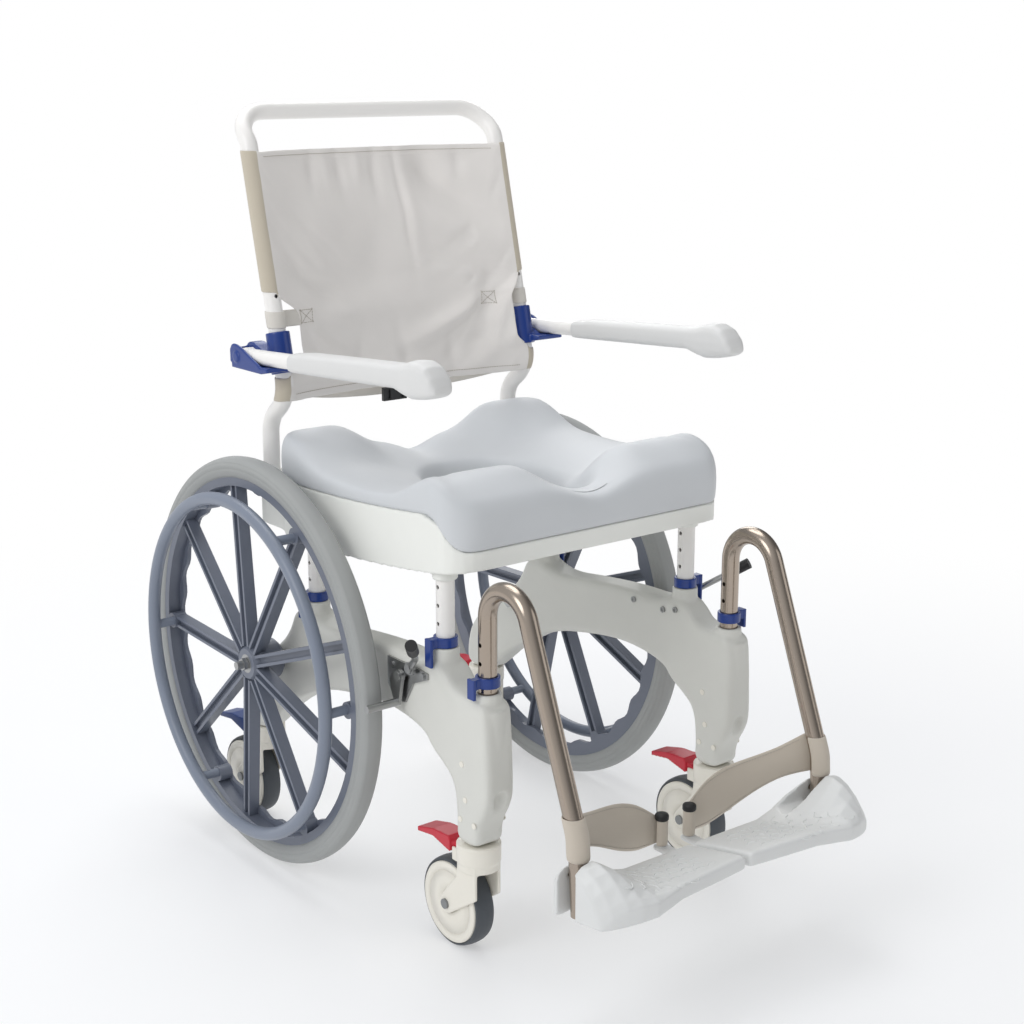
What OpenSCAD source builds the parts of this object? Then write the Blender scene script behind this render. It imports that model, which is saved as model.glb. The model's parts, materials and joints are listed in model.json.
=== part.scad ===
// Self-propelled shower commode chair: two moulded side frames, a padded seat on four
// height tubes, a sling back, flip-up arms, swing-away leg rests, two spoked main wheels
// and four braked castors. Millimetres, +Z up, the sitter faces -Y, left is +X.
// Lengths named "ahead" are measured forwards from the main wheel axle.

/* [Main wheels] */
// Radius of a main wheel over its tyre
wheel_r = 305; // [295:1:315]
// Distance of a main wheel's centre plane from the chair's centre plane
wheel_x = 278; // [274:1:290]
// Width of a main wheel's tyre
tyre_w = 34; // [28:1:36]
// Radial height of a main wheel's tyre
tyre_h = 29; // [24:1:32]
// Number of spokes in a main wheel
spokes = 9; // [7:1:12]
// Radius of the handrim's centre line
handrim_r = 249.5; // [240:0.5:256]
// Diameter of the handrim's tube
handrim_d = 19; // [16:1:22]
// Distance of the handrim outside the wheel's centre plane
handrim_out = 45; // [40:1:55]
// Number of posts that carry the handrim
handrim_posts = 6; // [4:1:9]
// Diameter of the main wheel axle
axle_d = 12; // [10:0.5:14]

/* [Side frames] */
// Thickness of a side frame
frame_t = 48; // [46:1:52]
// Distance of a side frame's middle plane from the chair's centre plane
frame_x = 217; // [214:1:219]
// Height of the top of the beam between the two seat sockets
beam_top = 394; // [386:1:400]
// Height of the arch under the beam
arch_top = 305; // [296:1:312]
// Height of the feet of the side frame, where the castors start
foot_z = 165; // [160:1:172]
// Radius of the rounding along a side frame's edges
frame_round = 9; // [6:1:11]
// Height of the front seat socket's mouth
front_mouth = 418; // [412:1:424]
// Height of the rear seat socket's mouth
rear_mouth = 404; // [398:1:410]
// Height of the leg rest socket's mouth
hanger_mouth = 380; // [374:1:386]
// Depth to which the sockets are bored, as a height over the floor
socket_floor = 300; // [296:1:306]
// Wall of the round socket collars
collar_wall = 6; // [5:0.5:7]

/* [Places along the chair] */
// Front seat tubes ahead of the axle
front_ahead = 383; // [378:1:388]
// Rear seat tubes ahead of the axle
rear_ahead = 66; // [60:1:72]
// Leg rest tubes ahead of the axle
hanger_ahead = 474; // [470:1:478]
// Front castor pivots ahead of the axle
front_castor_ahead = 453; // [449:1:457]
// Rear castor pivots behind the axle
rear_castor_behind = 98; // [94:1:102]

/* [Tubes] */
// Outer diameter of the seat, back and leg rest tubes
tube_d = 25; // [24:0.5:26]
// Wall of those tubes
tube_wall = 2; // [1.5:0.1:3]
// Gap all round a tube in the socket that it slides in
slide_gap = 0.1; // [0.05:0.01:0.2]
// Distance between the height holes
hole_pitch = 25; // [20:1:30]
// Diameter of the height holes
hole_d = 6; // [5:0.5:7]
// Number of height holes above each socket
holes = 4; // [2:1:4]

/* [Castors] */
// Diameter of a castor wheel
castor_d = 125; // [120:1:128]
// Width of a castor tyre
castor_w = 30; // [26:1:32]
// Distance of a castor's axle behind its pivot
castor_trail = 46; // [40:1:48]
// Diameter of a castor's head
castor_head_d = 60; // [54:1:64]
// Diameter of a castor's stem
stem_d = 12; // [10:0.5:14]
// Height of a castor's stem above its head
stem_h = 55; // [45:1:60]
// Thickness of a castor fork's cheeks
cheek_t = 5; // [4:0.5:6]
// Length of a castor brake pedal behind the head
pedal_l = 88; // [80:1:92]
// Width of a castor brake pedal
pedal_w = 32; // [26:1:36]

/* [Seat] */
// Width of the seat
seat_w = 480; // [474:1:486]
// Length of the seat
seat_l = 452; // [446:1:456]
// Front edge of the seat ahead of the axle
seat_front_ahead = 440; // [438:1:444]
// Radius of the seat's corners in plan
seat_corner_r = 42; // [34:1:50]
// Height of the tray's lower edge at the front
tray_front_z = 529; // [524:1:533]
// Height of the tray's lower edge at the back
tray_rear_z = 492; // [486:1:498]
// Height of the joint between pad and tray at the front
joint_front_z = 556; // [552:1:560]
// Height of the joint between pad and tray along the sides
joint_side_z = 577; // [573:1:581]
// Height that the joint climbs towards the front corners
joint_climb = 22; // [16:1:26]
// Wall of the tray
tray_wall = 7; // [5:0.5:8]
// Height of the tray's deck under the pad
deck_z = 547; // [544:1:549]
// Height of the pad's plain top
pad_z = 612; // [606:1:618]
// Half width of the hygiene opening
opening_half_w = 92; // [84:1:98]
// Half length of the oval part of the hygiene opening
opening_half_l = 118; // [110:1:124]
// Length of the front slot of the opening, from the oval's centre
slot_reach = 172; // [164:1:180]
// Half width of the front slot of the opening
slot_half_w = 40; // [34:1:44]

/* [Back] */
// Distance of a back tube from the chair's centre plane
back_x = 221; // [220:1:222]
// Lean of the back from upright, in degrees
back_lean = 13.3; // [10:0.1:16]
// Height where the straight back starts, over its double bend
back_start_z = 694; // [688:1:700]
// Place of the straight back's start behind the axle
back_start_behind = -6; // [-10:1:0]
// Height of the push bar's centre line
bar_z = 1093; // [1080:1:1105]
// Place of the push bar behind the axle
bar_behind = 118; // [112:1:124]
// Place of the back tube's lower end behind the axle
back_foot_behind = 44; // [42:1:46]
// Radius of the push bar's corners
bar_corner_r = 48; // [40:1:49]
// Height of the back fabric's top edge
fabric_top = 1040; // [1030:1:1046]
// Height of the back fabric's bottom edge at the tubes
fabric_bottom = 688; // [684:1:692]
// Thickness of the back fabric
fabric_t = 1.6; // [1.2:0.1:2]
// Depth that the fabric bellies back between the tubes
fabric_belly = 26; // [16:1:30]

/* [Arms] */
// Height of the arm pivots
arm_pivot_z = 751; // [748:1:756]
// Place of the arm pivots behind the axle
arm_pivot_behind = 50; // [48:1:54]
// Distance of an arm's beam from the chair's centre plane
arm_x = 254; // [252:1:257]
// Diameter of the arm beam
beam_d = 22; // [20:0.5:23]
// Start of the arm pad ahead of the axle
pad_start_ahead = 88; // [84:1:94]
// Front of the arm pad ahead of the axle
pad_front_ahead = 436; // [428:1:442]
// Width of the arm pad
arm_pad_w = 40; // [36:1:44]
// Rise of the arm towards its front, in degrees
arm_rise = 3.3; // [2:0.1:5]

/* [Leg rests] */
// Radius of the bend at the top of a leg rest tube
hanger_bend_r = 43; // [40:1:46]
// Height of the tube's centre line at the top of that bend
hanger_top = 523; // [516:1:530]
// Slope of the leg rest tube from upright, in degrees
hanger_slope = 21; // [19:0.5:23]
// Height where the leg rest tube turns down again
hanger_knee_z = 243; // [236:1:250]
// Height of the leg rest tube's lower end
hanger_end_z = 141; // [139:1:146]
// Height of the footplate pivots
foot_pivot_z = 190; // [188:1:192]
// Front of a footplate ahead of the axle
plate_front_ahead = 757; // [750:1:762]
// Rear of a footplate ahead of the axle
plate_rear_ahead = 630; // [624:1:634]
// Half gap between the two footplates
plate_gap = 4; // [3:0.5:8]

/* [Hidden] */

// Smoothness of round things
$fn = 64;
// One overrun for all cuts, and the gap between pieces that only touch
over = 1;
seat_gap = 0.3;
// The small step where two runs of one tube meet
hair = 0.02;
// Running clearance all round a pin or shaft
run_gap = 0.08;
// One step of the side frame's outline grid
e = 10;

// Derived places. The origin lies on the floor under the middle of the whole chair.
axle_y = (plate_front_ahead - wheel_r) / 2;
front_y = -front_ahead;
rear_y = -rear_ahead;
hanger_y = -hanger_ahead;
front_castor_y = -front_castor_ahead;
rear_castor_y = rear_castor_behind;
tube_r = tube_d / 2;
socket_r = tube_r + slide_gap;
collar_r = tube_r + collar_wall;
frame_out = frame_x + frame_t / 2;
frame_in = frame_x - frame_t / 2;
castor_r = castor_d / 2;
clip_z = 7;
tyre_in_r = wheel_r - tyre_h;

// Puts what is drawn about the axle's foot into the chair's frame.
module place() translate([0, axle_y, 0]) children();

// Draws the left piece as it is and the right one as its mirror image.
module on_side(side) place() mirror([side < 0 ? 1 : 0, 0, 0]) children();

// Draws a piece on both sides.
module both_sides() for (side = [-1, 1]) on_side(side) children();

function unit(v) = v / norm(v);
function mix(a, b, t) = a + (b - a) * t;
function clamp(t) = min(1, max(0, t));
function smooth(t) = clamp(t) * clamp(t) * (3 - 2 * clamp(t));
function hump(t) = exp(-t * t);

function reversed(list) = [for (i = [len(list) - 1 : -1 : 0]) list[i]];

// One round of corner cutting on a closed outline.
function cut_corners(p) = [for (i = [0 : len(p) - 1]) let (q = p[(i + 1) % len(p)])
    each [mix(p[i], q, 0.25), mix(p[i], q, 0.75)]];

// The outline's points moved inwards; the outline runs anticlockwise.
function inset(p, d) = [for (i = [0 : len(p) - 1])
    let (a = p[(i + len(p) - 1) % len(p)], b = p[(i + 1) % len(p)], t = unit(b - a))
    p[i] + d * [-t[1], t[0]]];

// Triangles over a ring of n points, n even, in a zigzag between its two halves.
function cap_faces(n, from) = [for (i = [0 : n / 2 - 2]) each
    [[from + i, from + i + 1, from + n - 1 - i], [from + i + 1, from + n - 2 - i, from + n - 1 - i]]];

function flipped(faces) = [for (f = faces) [f[0], f[2], f[1]]];

// Faces that join rings of n points each into a skin; the last ring meets the first
// when the skin is a closed loop, and otherwise both ends are capped.
function skin_faces(rings, n, closed) = concat(
    [for (k = [0 : rings - (closed ? 1 : 2)], i = [0 : n - 1])
        let (a = k * n + i, b = k * n + (i + 1) % n,
             c = ((k + 1) % rings) * n + (i + 1) % n, d = ((k + 1) % rings) * n + i)
        each [[a, c, b], [a, d, c]]],
    closed ? [] : concat(cap_faces(n, 0), flipped(cap_faces(n, (rings - 1) * n))));

module skin(rings, closed = false)
    polyhedron([for (ring = rings) each ring],
               skin_faces(len(rings), len(rings[0]), closed), convexity = 8);

// A slab cut to an outline in the YZ plane, with rounded edges, about the plane x = mid:
// a plain core, and a rounded rim all round it.
module rounded_slab(outline, mid, t, r) {
    turns = [0, 45, 90];
    low = [for (a = turns) [mid - t / 2 + r * (1 - cos(a)), r * (1 - sin(a))]];
    layers = concat(low, [for (l = reversed(low)) [2 * mid - l[0], l[1]]]);
    lines = [for (l = layers) inset(outline, l[1])];
    plate_x(mid - t / 2, mid + t / 2, lines[0]);
    skin([for (i = [0 : len(outline) - 1])
        reversed([for (k = [0 : len(layers) - 1]) [layers[k][0], lines[k][i][0], lines[k][i][1]]])],
        closed = true);
}

// A rod or tube along straight runs with round bends. Points, one bend radius for each
// inner point, the radius, and the wall of a tube, or zero for a solid rod. The bends are a
// hair thinner than the runs and reach a hair into them, which makes one clean solid.
module bent_tube(points, bends, r, wall) {
    last = len(points) - 1;
    dirs = [for (i = [0 : last - 1]) unit(points[i + 1] - points[i])];
    turn = [for (i = [1 : last - 1]) acos(dirs[i - 1] * dirs[i])];
    cut = [for (i = [0 : last]) i == 0 || i == last ? 0 : bends[i - 1] * tan(turn[i - 1] / 2)];
    for (i = [0 : last - 1])
        along(points[i] + dirs[i] * cut[i], dirs[i])
            linear_extrude(norm(points[i + 1] - points[i]) - cut[i] - cut[i + 1]) tube_section(r, wall);
    for (i = [1 : last - 1]) {
        d = dirs[i - 1];
        n = unit(dirs[i] - (dirs[i] * d) * d);
        w = cross(d, n);
        c = points[i] - d * cut[i] + n * bends[i - 1];
        reach = hair / bends[i - 1] * 180 / PI;
        multmatrix([[-n[0], d[0], w[0], c[0]], [-n[1], d[1], w[1], c[1]], [-n[2], d[2], w[2], c[2]]])
            rotate([0, 0, -reach]) rotate_extrude(angle = turn[i - 1] + 2 * reach)
                translate([bends[i - 1], 0]) tube_section(r - hair, wall - 2 * hair);
    }
}

module tube_section(r, wall) difference() {
    circle(r = r);
    if (wall > 0) circle(r = r - wall);
}

// A piece that stands at a point and looks along a direction.
module along(from, dir) {
    w = unit(dir);
    u = unit(cross(abs(w[2]) > 0.9 ? [1, 0, 0] : [0, 0, 1], w));
    v = cross(w, u);
    multmatrix([[u[0], v[0], w[0], from[0]], [u[1], v[1], w[1], from[1]], [u[2], v[2], w[2], from[2]]])
        children();
}

// A cylinder along X, from x0 to x1, at a place in the YZ plane.
module rod_x(x0, x1, at, r) translate([x0, at[0], at[1]]) rotate([0, 90, 0]) cylinder(h = x1 - x0, r = r);

// A plate in the YZ plane, from x0 to x1.
module plate_x(x0, x1, outline) translate([x0, 0, 0]) rotate([90, 0, 90])
    linear_extrude(x1 - x0) polygon(outline);

// Side frame

foot_half = 26;
axle_z = wheel_r;
stem_hole_r = stem_d / 2 + run_gap;
frame_outline = [
    [rear_castor_y + foot_half, foot_z],
    [rear_castor_y + foot_half, foot_z + 4 * e],
    [rear_castor_y + 1.2 * e, foot_z + 8 * e],
    [6 * e, axle_z - 1.5 * e],
    [1 * e, axle_z + 1.6 * e],
    [rear_y + 4.5 * e, rear_mouth - 5.2 * e],
    [rear_y + 3 * e, rear_mouth - 2 * e],
    [rear_y + 0.8 * e, rear_mouth - 1.4 * e],
    [rear_y - 0.8 * e, rear_mouth - 1.4 * e],
    [rear_y - 2.6 * e, beam_top - 1.2 * e],
    [rear_y - 6 * e, beam_top - 1.6 * e],
    [rear_y - 12 * e, beam_top - 0.8 * e],
    [rear_y - 21 * e, beam_top],
    [front_y + 3.6 * e, beam_top],
    [front_y + 1.6 * e, front_mouth - 1.6 * e],
    [front_y - 1.2 * e, front_mouth - 1.6 * e],
    [front_y - 3 * e, front_mouth - 2.8 * e],
    [front_y - 4.2 * e, hanger_mouth - 0.4 * e],
    [hanger_y + 1.7 * e, hanger_mouth - 0.9 * e],
    [hanger_y - 2 * e, hanger_mouth - 0.9 * e],
    [hanger_y - 2.5 * e, hanger_mouth - 4 * e],
    [hanger_y - 2.9 * e, foot_z + 9 * e],
    [hanger_y - 2.6 * e, foot_z + 6.5 * e],
    [front_castor_y - foot_half, foot_z + 3 * e],
    [front_castor_y - foot_half, foot_z],
    [front_castor_y + 2.2 * e, foot_z],
    [front_castor_y + 2 * e, foot_z + 3.5 * e],
    [front_castor_y + 2.6 * e, arch_top - 6 * e],
    [front_castor_y + 5 * e, arch_top - 4.2 * e],
    [front_castor_y + 7.6 * e, arch_top - 2.8 * e],
    [front_castor_y + 9.2 * e, arch_top - 0.8 * e],
    [front_castor_y + 17 * e, arch_top + 0.4 * e],
    [front_castor_y + 25 * e, arch_top - 0.4 * e],
    [rear_y - 3 * e, arch_top - 2.6 * e],
    [0, arch_top - 8 * e],
    [rear_castor_y - 4.6 * e, foot_z + 1.5 * e],
    [rear_castor_y - foot_half, foot_z]];
frame_curve = cut_corners(cut_corners(frame_outline));
leg_r = frame_t / 2 - seat_gap;
recess_r = 11;
recess_low = 200;
recess_high = 240;
plug_r = 4;

module socket_collar(y, mouth, depth) translate([frame_x, y, mouth - depth]) {
    cylinder(h = depth, r = collar_r);
}

module side_frame(side) on_side(side) color("gainsboro") difference() {
    union() {
        rounded_slab(frame_curve, frame_x, frame_t, frame_round);
        socket_collar(front_y, front_mouth, 4 * e);
        socket_collar(rear_y, rear_mouth, 4 * e);
        socket_collar(hanger_y, hanger_mouth, 4 * e);
        translate([frame_x, hanger_y - 0.3 * e, foot_z + 6 * e])
            cylinder(h = hanger_mouth - 2 * e - foot_z - 6 * e, r = leg_r);
    }
    for (hole = [[front_y, front_mouth], [rear_y, rear_mouth], [hanger_y, hanger_mouth]])
        translate([frame_x, hole[0], socket_floor])
            cylinder(h = hole[1] - socket_floor + over, r = socket_r);
    for (y = [front_castor_y, rear_castor_y])
        translate([frame_x, y, foot_z - over]) cylinder(h = stem_h + 2 * over, r = stem_hole_r);
    rod_x(frame_in - over, frame_out + over, [0, axle_z], axle_d / 2 + run_gap);
    translate([frame_x, hanger_y - 3 * e, recess_low]) {
        cylinder(h = recess_high - recess_low, r = recess_r);
        sphere(r = recess_r);
        translate([0, 0, recess_high - recess_low]) sphere(r = recess_r);
    }
}

// Screws and round plugs that stand out of the inner and outer faces.
screw_r = 4.5;
screw_h = 2.6;
inner_screws = [[rear_y - 23.3 * e, beam_top - 1.2 * e], [front_y + 2 * e, beam_top - 1.2 * e],
                [front_y - 0.6 * e, front_mouth - 3 * e]];
leg_plugs = [[front_castor_y + 0.4 * e, foot_z + 11.3 * e], [front_castor_y - 0.3 * e, foot_z + 6.5 * e],
             [front_castor_y + 0.8 * e, foot_z + 3.5 * e], [front_castor_y - 2.2 * e, foot_z + 3.5 * e]];

module frame_screws() both_sides() color("silver") {
    for (p = inner_screws)
        difference() {
            rod_x(frame_in - screw_h, frame_in, p, screw_r);
            translate([frame_in - screw_h - over, p[0], p[1]]) rotate([0, 90, 0])
                cylinder(h = screw_h / 2 + over, r = screw_r / 2, $fn = 6);
        }
    for (p = leg_plugs) {
        rod_x(frame_in - plug_r / 4, frame_in, p, plug_r);
        rod_x(frame_out, frame_out + plug_r / 4, p, plug_r);
    }
}

// Main wheels. A wheel is drawn about its own axis with its outer side upwards.

hub_r = 30;
hub_in = 28;
hub_out = 24;
rim_half = 12.5;
rim_wall = 13;
wave_h = 3.5;
wave_t = 6;
rib_t = 4.5;
spoke_w = 18;
web_t = 5;
spoke_end_half = 8.5;
spoke_foot_r = 0.85 * hub_r;
bearing_d = 28;
bearing_w = 8;
post_r = 7;
post_pad_r = 12;
rim_in_r = tyre_in_r - rim_wall;
wave_r = rim_in_r - 1 * e;
post_foot_r = tyre_in_r - 2.65 * e;
// Along the axis, the outer and inner edge of a spoke where it leaves the hub
spoke_foot_out = hub_out - 0.2 * e;
spoke_foot_in = hub_out - 2.1 * e;
spoke_foot_mid = (spoke_foot_in + spoke_foot_out) / 2;
handrim_tube_r = handrim_d / 2;
// Ends of a post's centre line, on the rim and in the handrim
post_foot = [0, post_foot_r, rim_half];
post_tip = [0, handrim_r, handrim_out];
axle_tip = wheel_x + handrim_out - 0.4 * e;
nut_r = 9.5;
spacer_r = 9;
nut_h = 7;

module wheel_place(side) on_side(side) translate([wheel_x, 0, axle_z]) rotate([0, 90, 0]) children();

// One spoke towards +Y: two ribs that taper from hub to rim, and the web between them.
module spoke() {
    for (x = [-spoke_w / 2, spoke_w / 2 - rib_t])
        plate_x(x, x + rib_t, [[spoke_foot_r, spoke_foot_in], [rim_in_r + over, -spoke_end_half],
                               [rim_in_r + over, spoke_end_half], [spoke_foot_r, spoke_foot_out]]);
    plate_x(rib_t - spoke_w / 2, spoke_w / 2 - rib_t,
            [[spoke_foot_r, spoke_foot_mid - web_t / 2], [rim_in_r + over, -web_t / 2],
             [rim_in_r + over, web_t / 2], [spoke_foot_r, spoke_foot_mid + web_t / 2]]);
}

module wheel_rim(side) wheel_place(side) color("slategray") difference() {
    union() {
        rotate_extrude() translate([rim_in_r, -rim_half]) square([rim_wall, 2 * rim_half]);
        translate([0, 0, -rim_half]) linear_extrude(wave_t) difference() {
            circle(r = rim_in_r + over);
            polygon([for (a = [0 : 2 : 359])
                (wave_r + wave_h * cos(3 * spokes * a)) * [cos(a), sin(a)]]);
        }
        rotate_extrude() polygon([[0, -hub_in], [hub_r * 0.8, -hub_in], [hub_r, -hub_in + hub_r / 5],
            [hub_r, hub_out / 2], [hub_r * 0.75, hub_out], [0, hub_out]]);
        for (k = [0 : spokes - 1]) rotate([0, 0, k * 360 / spokes]) spoke();
        for (k = [0 : handrim_posts - 1]) rotate([0, 0, k * 360 / handrim_posts])
            translate([0, post_foot_r + post_r / 2, -spoke_end_half])
                cylinder(h = rim_half + spoke_end_half, r = post_pad_r);
    }
    for (z = [-hub_in - over, hub_out - bearing_w])
        translate([0, 0, z]) cylinder(h = bearing_w + over, r = bearing_d / 2);
    translate([0, 0, -hub_in - over]) cylinder(h = hub_in + hub_out + 2 * over, r = axle_d / 2 + rib_t / 2);
}

// The tyre's section: share of its height outwards, and share of its width across.
tyre_shares = [[0, 0.36], [0.3, 0.47], [0.55, 0.5], [0.78, 0.45], [0.93, 0.3], [1, 0.12]];
tyre_mirror_shares = [for (i = [len(tyre_shares) - 1 : -1 : 0]) [tyre_shares[i][0], -tyre_shares[i][1]]];

module wheel_tyre(side) wheel_place(side) color("darkgray") rotate_extrude()
    polygon([for (s = concat(tyre_shares, tyre_mirror_shares)) [tyre_in_r + s[0] * tyre_h, s[1] * tyre_w]]);

module handrim(side) wheel_place(side) color("slategray") {
    translate([0, 0, handrim_out]) rotate_extrude() translate([handrim_r, 0]) circle(r = handrim_tube_r);
    for (k = [0 : handrim_posts - 1]) rotate([0, 0, k * 360 / handrim_posts]) difference() {
        along(post_foot, post_tip - post_foot) translate([0, 0, -post_r])
            cylinder(h = norm(post_tip - post_foot) + post_r, r = post_r);
        translate([-2 * post_r, post_foot_r - 3 * post_r, rim_half - 3 * post_r])
            cube([4 * post_r, 6 * post_r, 3 * post_r]);
    }
}

module hub_bearings(side) wheel_place(side) color("silver") for (z = [-hub_in, hub_out - bearing_w])
    translate([0, 0, z]) difference() {
        cylinder(h = bearing_w, r = bearing_d / 2);
        translate([0, 0, -over]) cylinder(h = bearing_w + 2 * over, r = axle_d / 2 + run_gap);
    }

// Axle bolts, their inner and outer nuts, and the spacers that keep the wheels off the frames.
module wheel_axles() both_sides() color("silver") {
    rod_x(frame_in - nut_h, axle_tip, [0, axle_z], axle_d / 2);
    translate([frame_in - nut_h, 0, axle_z]) rotate([0, 90, 0]) cylinder(h = nut_h, r = nut_r, $fn = 6);
    rod_x(frame_out, wheel_x - hub_in - seat_gap, [0, axle_z], spacer_r);
    translate([wheel_x + hub_out + seat_gap, 0, axle_z]) rotate([0, 90, 0])
        cylinder(h = nut_h, r = nut_r, $fn = 6);
}

// Tyre brakes. The bar hangs from its own pin and the lever turns on a second one.

brake_plate_t = 3.5;
brake_arm_t = 5;
brake_pin_r = 4;
brake_hub_r = 9;
brake_rod_r = 4.5;
brake_bar_r = 5.5;
brake_room = 7;
brake_ahead = wheel_r + brake_room;
lever_pin = [-brake_ahead - 3.7 * e, beam_top - 1 * e];
bar_pin = [-brake_ahead - 1.2 * e, beam_top - 2.7 * e];
bar_at = [-brake_ahead - 0.6 * e, beam_top - 6.6 * e];
brake_arm_x = frame_out + brake_plate_t + brake_pin_r;
bar_out = wheel_x + tyre_w / 2 + 0.6 * e;
grip_l = 38;
grip_r = 8;
lever_knee = [brake_arm_x + 1 * e, lever_pin[0] - 2.3 * e, lever_pin[1] + 2.1 * e];
lever_tip = [brake_arm_x + 5.3 * e, lever_pin[0] - 7.6 * e, lever_pin[1] + 6.2 * e];
lever_foot = [brake_arm_x + brake_arm_t / 2, lever_pin[0], lever_pin[1]];

module brake_plates() both_sides() color("silver") {
    plate_x(frame_out, frame_out + brake_plate_t,
            [[-brake_ahead + 2.6 * e, lever_pin[1]], [-brake_ahead + 2.6 * e, lever_pin[1] - 3.9 * e],
             [-brake_ahead + 1.2 * e, lever_pin[1] - 5.6 * e], [bar_pin[0] - 0.2 * e, lever_pin[1] - 5.6 * e],
             [lever_pin[0] + 0.4 * e, lever_pin[1] - 2.4 * e], [lever_pin[0] - 2.9 * e, lever_pin[1] - 1 * e],
             [lever_pin[0] - 2.9 * e, lever_pin[1] - 0.2 * e], [lever_pin[0] - 1 * e, lever_pin[1]]]);
    for (p = [lever_pin, bar_pin]) {
        rod_x(frame_out + brake_plate_t, brake_arm_x + brake_arm_t + seat_gap + screw_h, p, brake_pin_r);
        rod_x(brake_arm_x + brake_arm_t + seat_gap, brake_arm_x + brake_arm_t + seat_gap + screw_h, p,
              brake_pin_r * 1.6);
    }
    for (p = [[-brake_ahead + 1.4 * e, lever_pin[1] - 0.9 * e],
              [-brake_ahead + 1.4 * e, lever_pin[1] - 3.3 * e],
              [lever_pin[0] - 2 * e, lever_pin[1] - 0.7 * e]])
        rod_x(frame_out + brake_plate_t, frame_out + brake_plate_t + screw_h, p, screw_r);
}

module brake_lever(side) on_side(side) color("silver") difference() {
    union() {
        rod_x(brake_arm_x, brake_arm_x + brake_arm_t, lever_pin, brake_hub_r);
        difference() {
            bent_tube([lever_foot, lever_knee, lever_tip], [1 * e], brake_rod_r, 0);
            rod_x(brake_arm_x - brake_hub_r, brake_arm_x, lever_pin, 2 * brake_hub_r);
            rod_x(brake_arm_x + brake_arm_t, brake_arm_x + 2 * brake_arm_t, lever_pin, brake_hub_r);
        }
    }
    rod_x(brake_arm_x - over, brake_arm_x + brake_arm_t + over, lever_pin, brake_pin_r + run_gap);
}

module brake_grip(side) on_side(side) color("black")
    along(lever_tip, lever_tip - lever_knee) translate([0, 0, brake_plate_t - grip_l]) difference() {
        cylinder(h = grip_l, r = grip_r);
        translate([0, 0, -over]) cylinder(h = grip_l - brake_plate_t + over, r = brake_rod_r);
    }

module brake_bar(side) on_side(side) color("silver") difference() {
    union() {
        rod_x(brake_arm_x, brake_arm_x + brake_arm_t, bar_pin, brake_hub_r);
        plate_x(brake_arm_x, brake_arm_x + brake_arm_t,
                [[bar_at[0] - brake_bar_r, bar_at[1]], [bar_at[0] + brake_bar_r, bar_at[1]],
                 [bar_pin[0] + 1.9 * e, bar_pin[1] - 1.9 * e], [bar_pin[0] + 1.9 * e, bar_pin[1] - 0.6 * e],
                 [bar_pin[0] + 0.4 * e, bar_pin[1] + 0.8 * e], [bar_pin[0] - 0.8 * e, bar_pin[1] - 0.2 * e]]);
        rod_x(brake_arm_x, bar_out, bar_at, brake_bar_r);
    }
    rod_x(brake_arm_x - over, brake_arm_x + brake_arm_t + over, bar_pin, brake_pin_r + run_gap);
}

// Castors. Each is drawn about its own pivot, with the wheel behind it.

fork_gap = 2;
castor_tyre_h = 6;
castor_core_r = castor_r - castor_tyre_h;
castor_bolt_r = 4;
castor_cap_r = 7;
castor_cap_h = 3;
head_low = 139;
cheek_in = castor_w / 2 + fork_gap;
cheek_out = cheek_in + cheek_t;
pedal_pin_at = [3.6 * e, head_low + 0.2 * e];
pedal_pin_r = 2.5;
pedal_hub_r = 6.5;
tread_y = castor_head_d / 2;
lug_in = 11;
lug_out = 15;
castor_at = [castor_trail, castor_r];
fork_r = 14;

module castor_place(front, side) on_side(side)
    translate([frame_x, front ? front_castor_y : rear_castor_y, 0]) children();

module castor_fork(front, side) castor_place(front, side) color("linen") difference() {
    union() {
        translate([0, 0, head_low]) cylinder(h = foot_z - seat_gap - head_low, r = castor_head_d / 2);
        translate([0, 0, castor_d + fork_gap])
            cylinder(h = head_low - castor_d, r = castor_head_d / 2 - fork_gap);
        translate([0, 0, foot_z - over]) cylinder(h = stem_h + over, r = stem_d / 2);
        for (x = [-cheek_out, cheek_in]) {
            plate_x(x, x + cheek_t, [[-2 * e, head_low + over], [-2 * e, castor_r + 2.8 * e],
                [castor_at[0] - 0.9 * e, castor_r - 1.1 * e], [castor_at[0] + 1.2 * e, castor_r - 0.7 * e],
                [castor_at[0] + 1.2 * e, castor_r + 0.8 * e], [2.2 * e, castor_r + 5 * e],
                [2 * e, head_low + over]]);
            rod_x(x, x + cheek_t, castor_at, fork_r);
        }
        for (x = [-lug_out, lug_in])
            plate_x(x, x + lug_out - lug_in,
                    [[1.6 * e, castor_d + fork_gap], [pedal_pin_at[0] + 0.5 * e, castor_d + fork_gap],
                     pedal_pin_at + [0.5 * e, 0.5 * e], [1.6 * e, pedal_pin_at[1] + 0.5 * e]]);
        rod_x(-lug_out, lug_out, pedal_pin_at, pedal_pin_r);
    }
    rod_x(-cheek_out - over, cheek_out + over, castor_at, castor_bolt_r);
    // Room for the pedal's hub
    difference() {
        rod_x(-lug_in, lug_in, pedal_pin_at, pedal_hub_r + over);
        rod_x(-lug_in - over, lug_in + over, pedal_pin_at, pedal_pin_r);
    }
}

module castor_wheel(front, side) castor_place(front, side) color("ivory") difference() {
    union() {
        rod_x(-castor_w / 2 + fork_gap, castor_w / 2 - fork_gap, castor_at, castor_core_r);
        rod_x(-cheek_in + seat_gap, cheek_in - seat_gap, castor_at, castor_bolt_r * 2);
    }
    rod_x(-castor_w, castor_w, castor_at, castor_bolt_r + run_gap);
}

castor_tyre_shares = [[0, 0.44], [0.3, 0.5], [0.62, 0.47], [0.85, 0.34], [0.97, 0.16], [1, 0.08]];
castor_tyre_mirror_shares = [for (i = [len(castor_tyre_shares) - 1 : -1 : 0])
    [castor_tyre_shares[i][0], -castor_tyre_shares[i][1]]];

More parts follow.
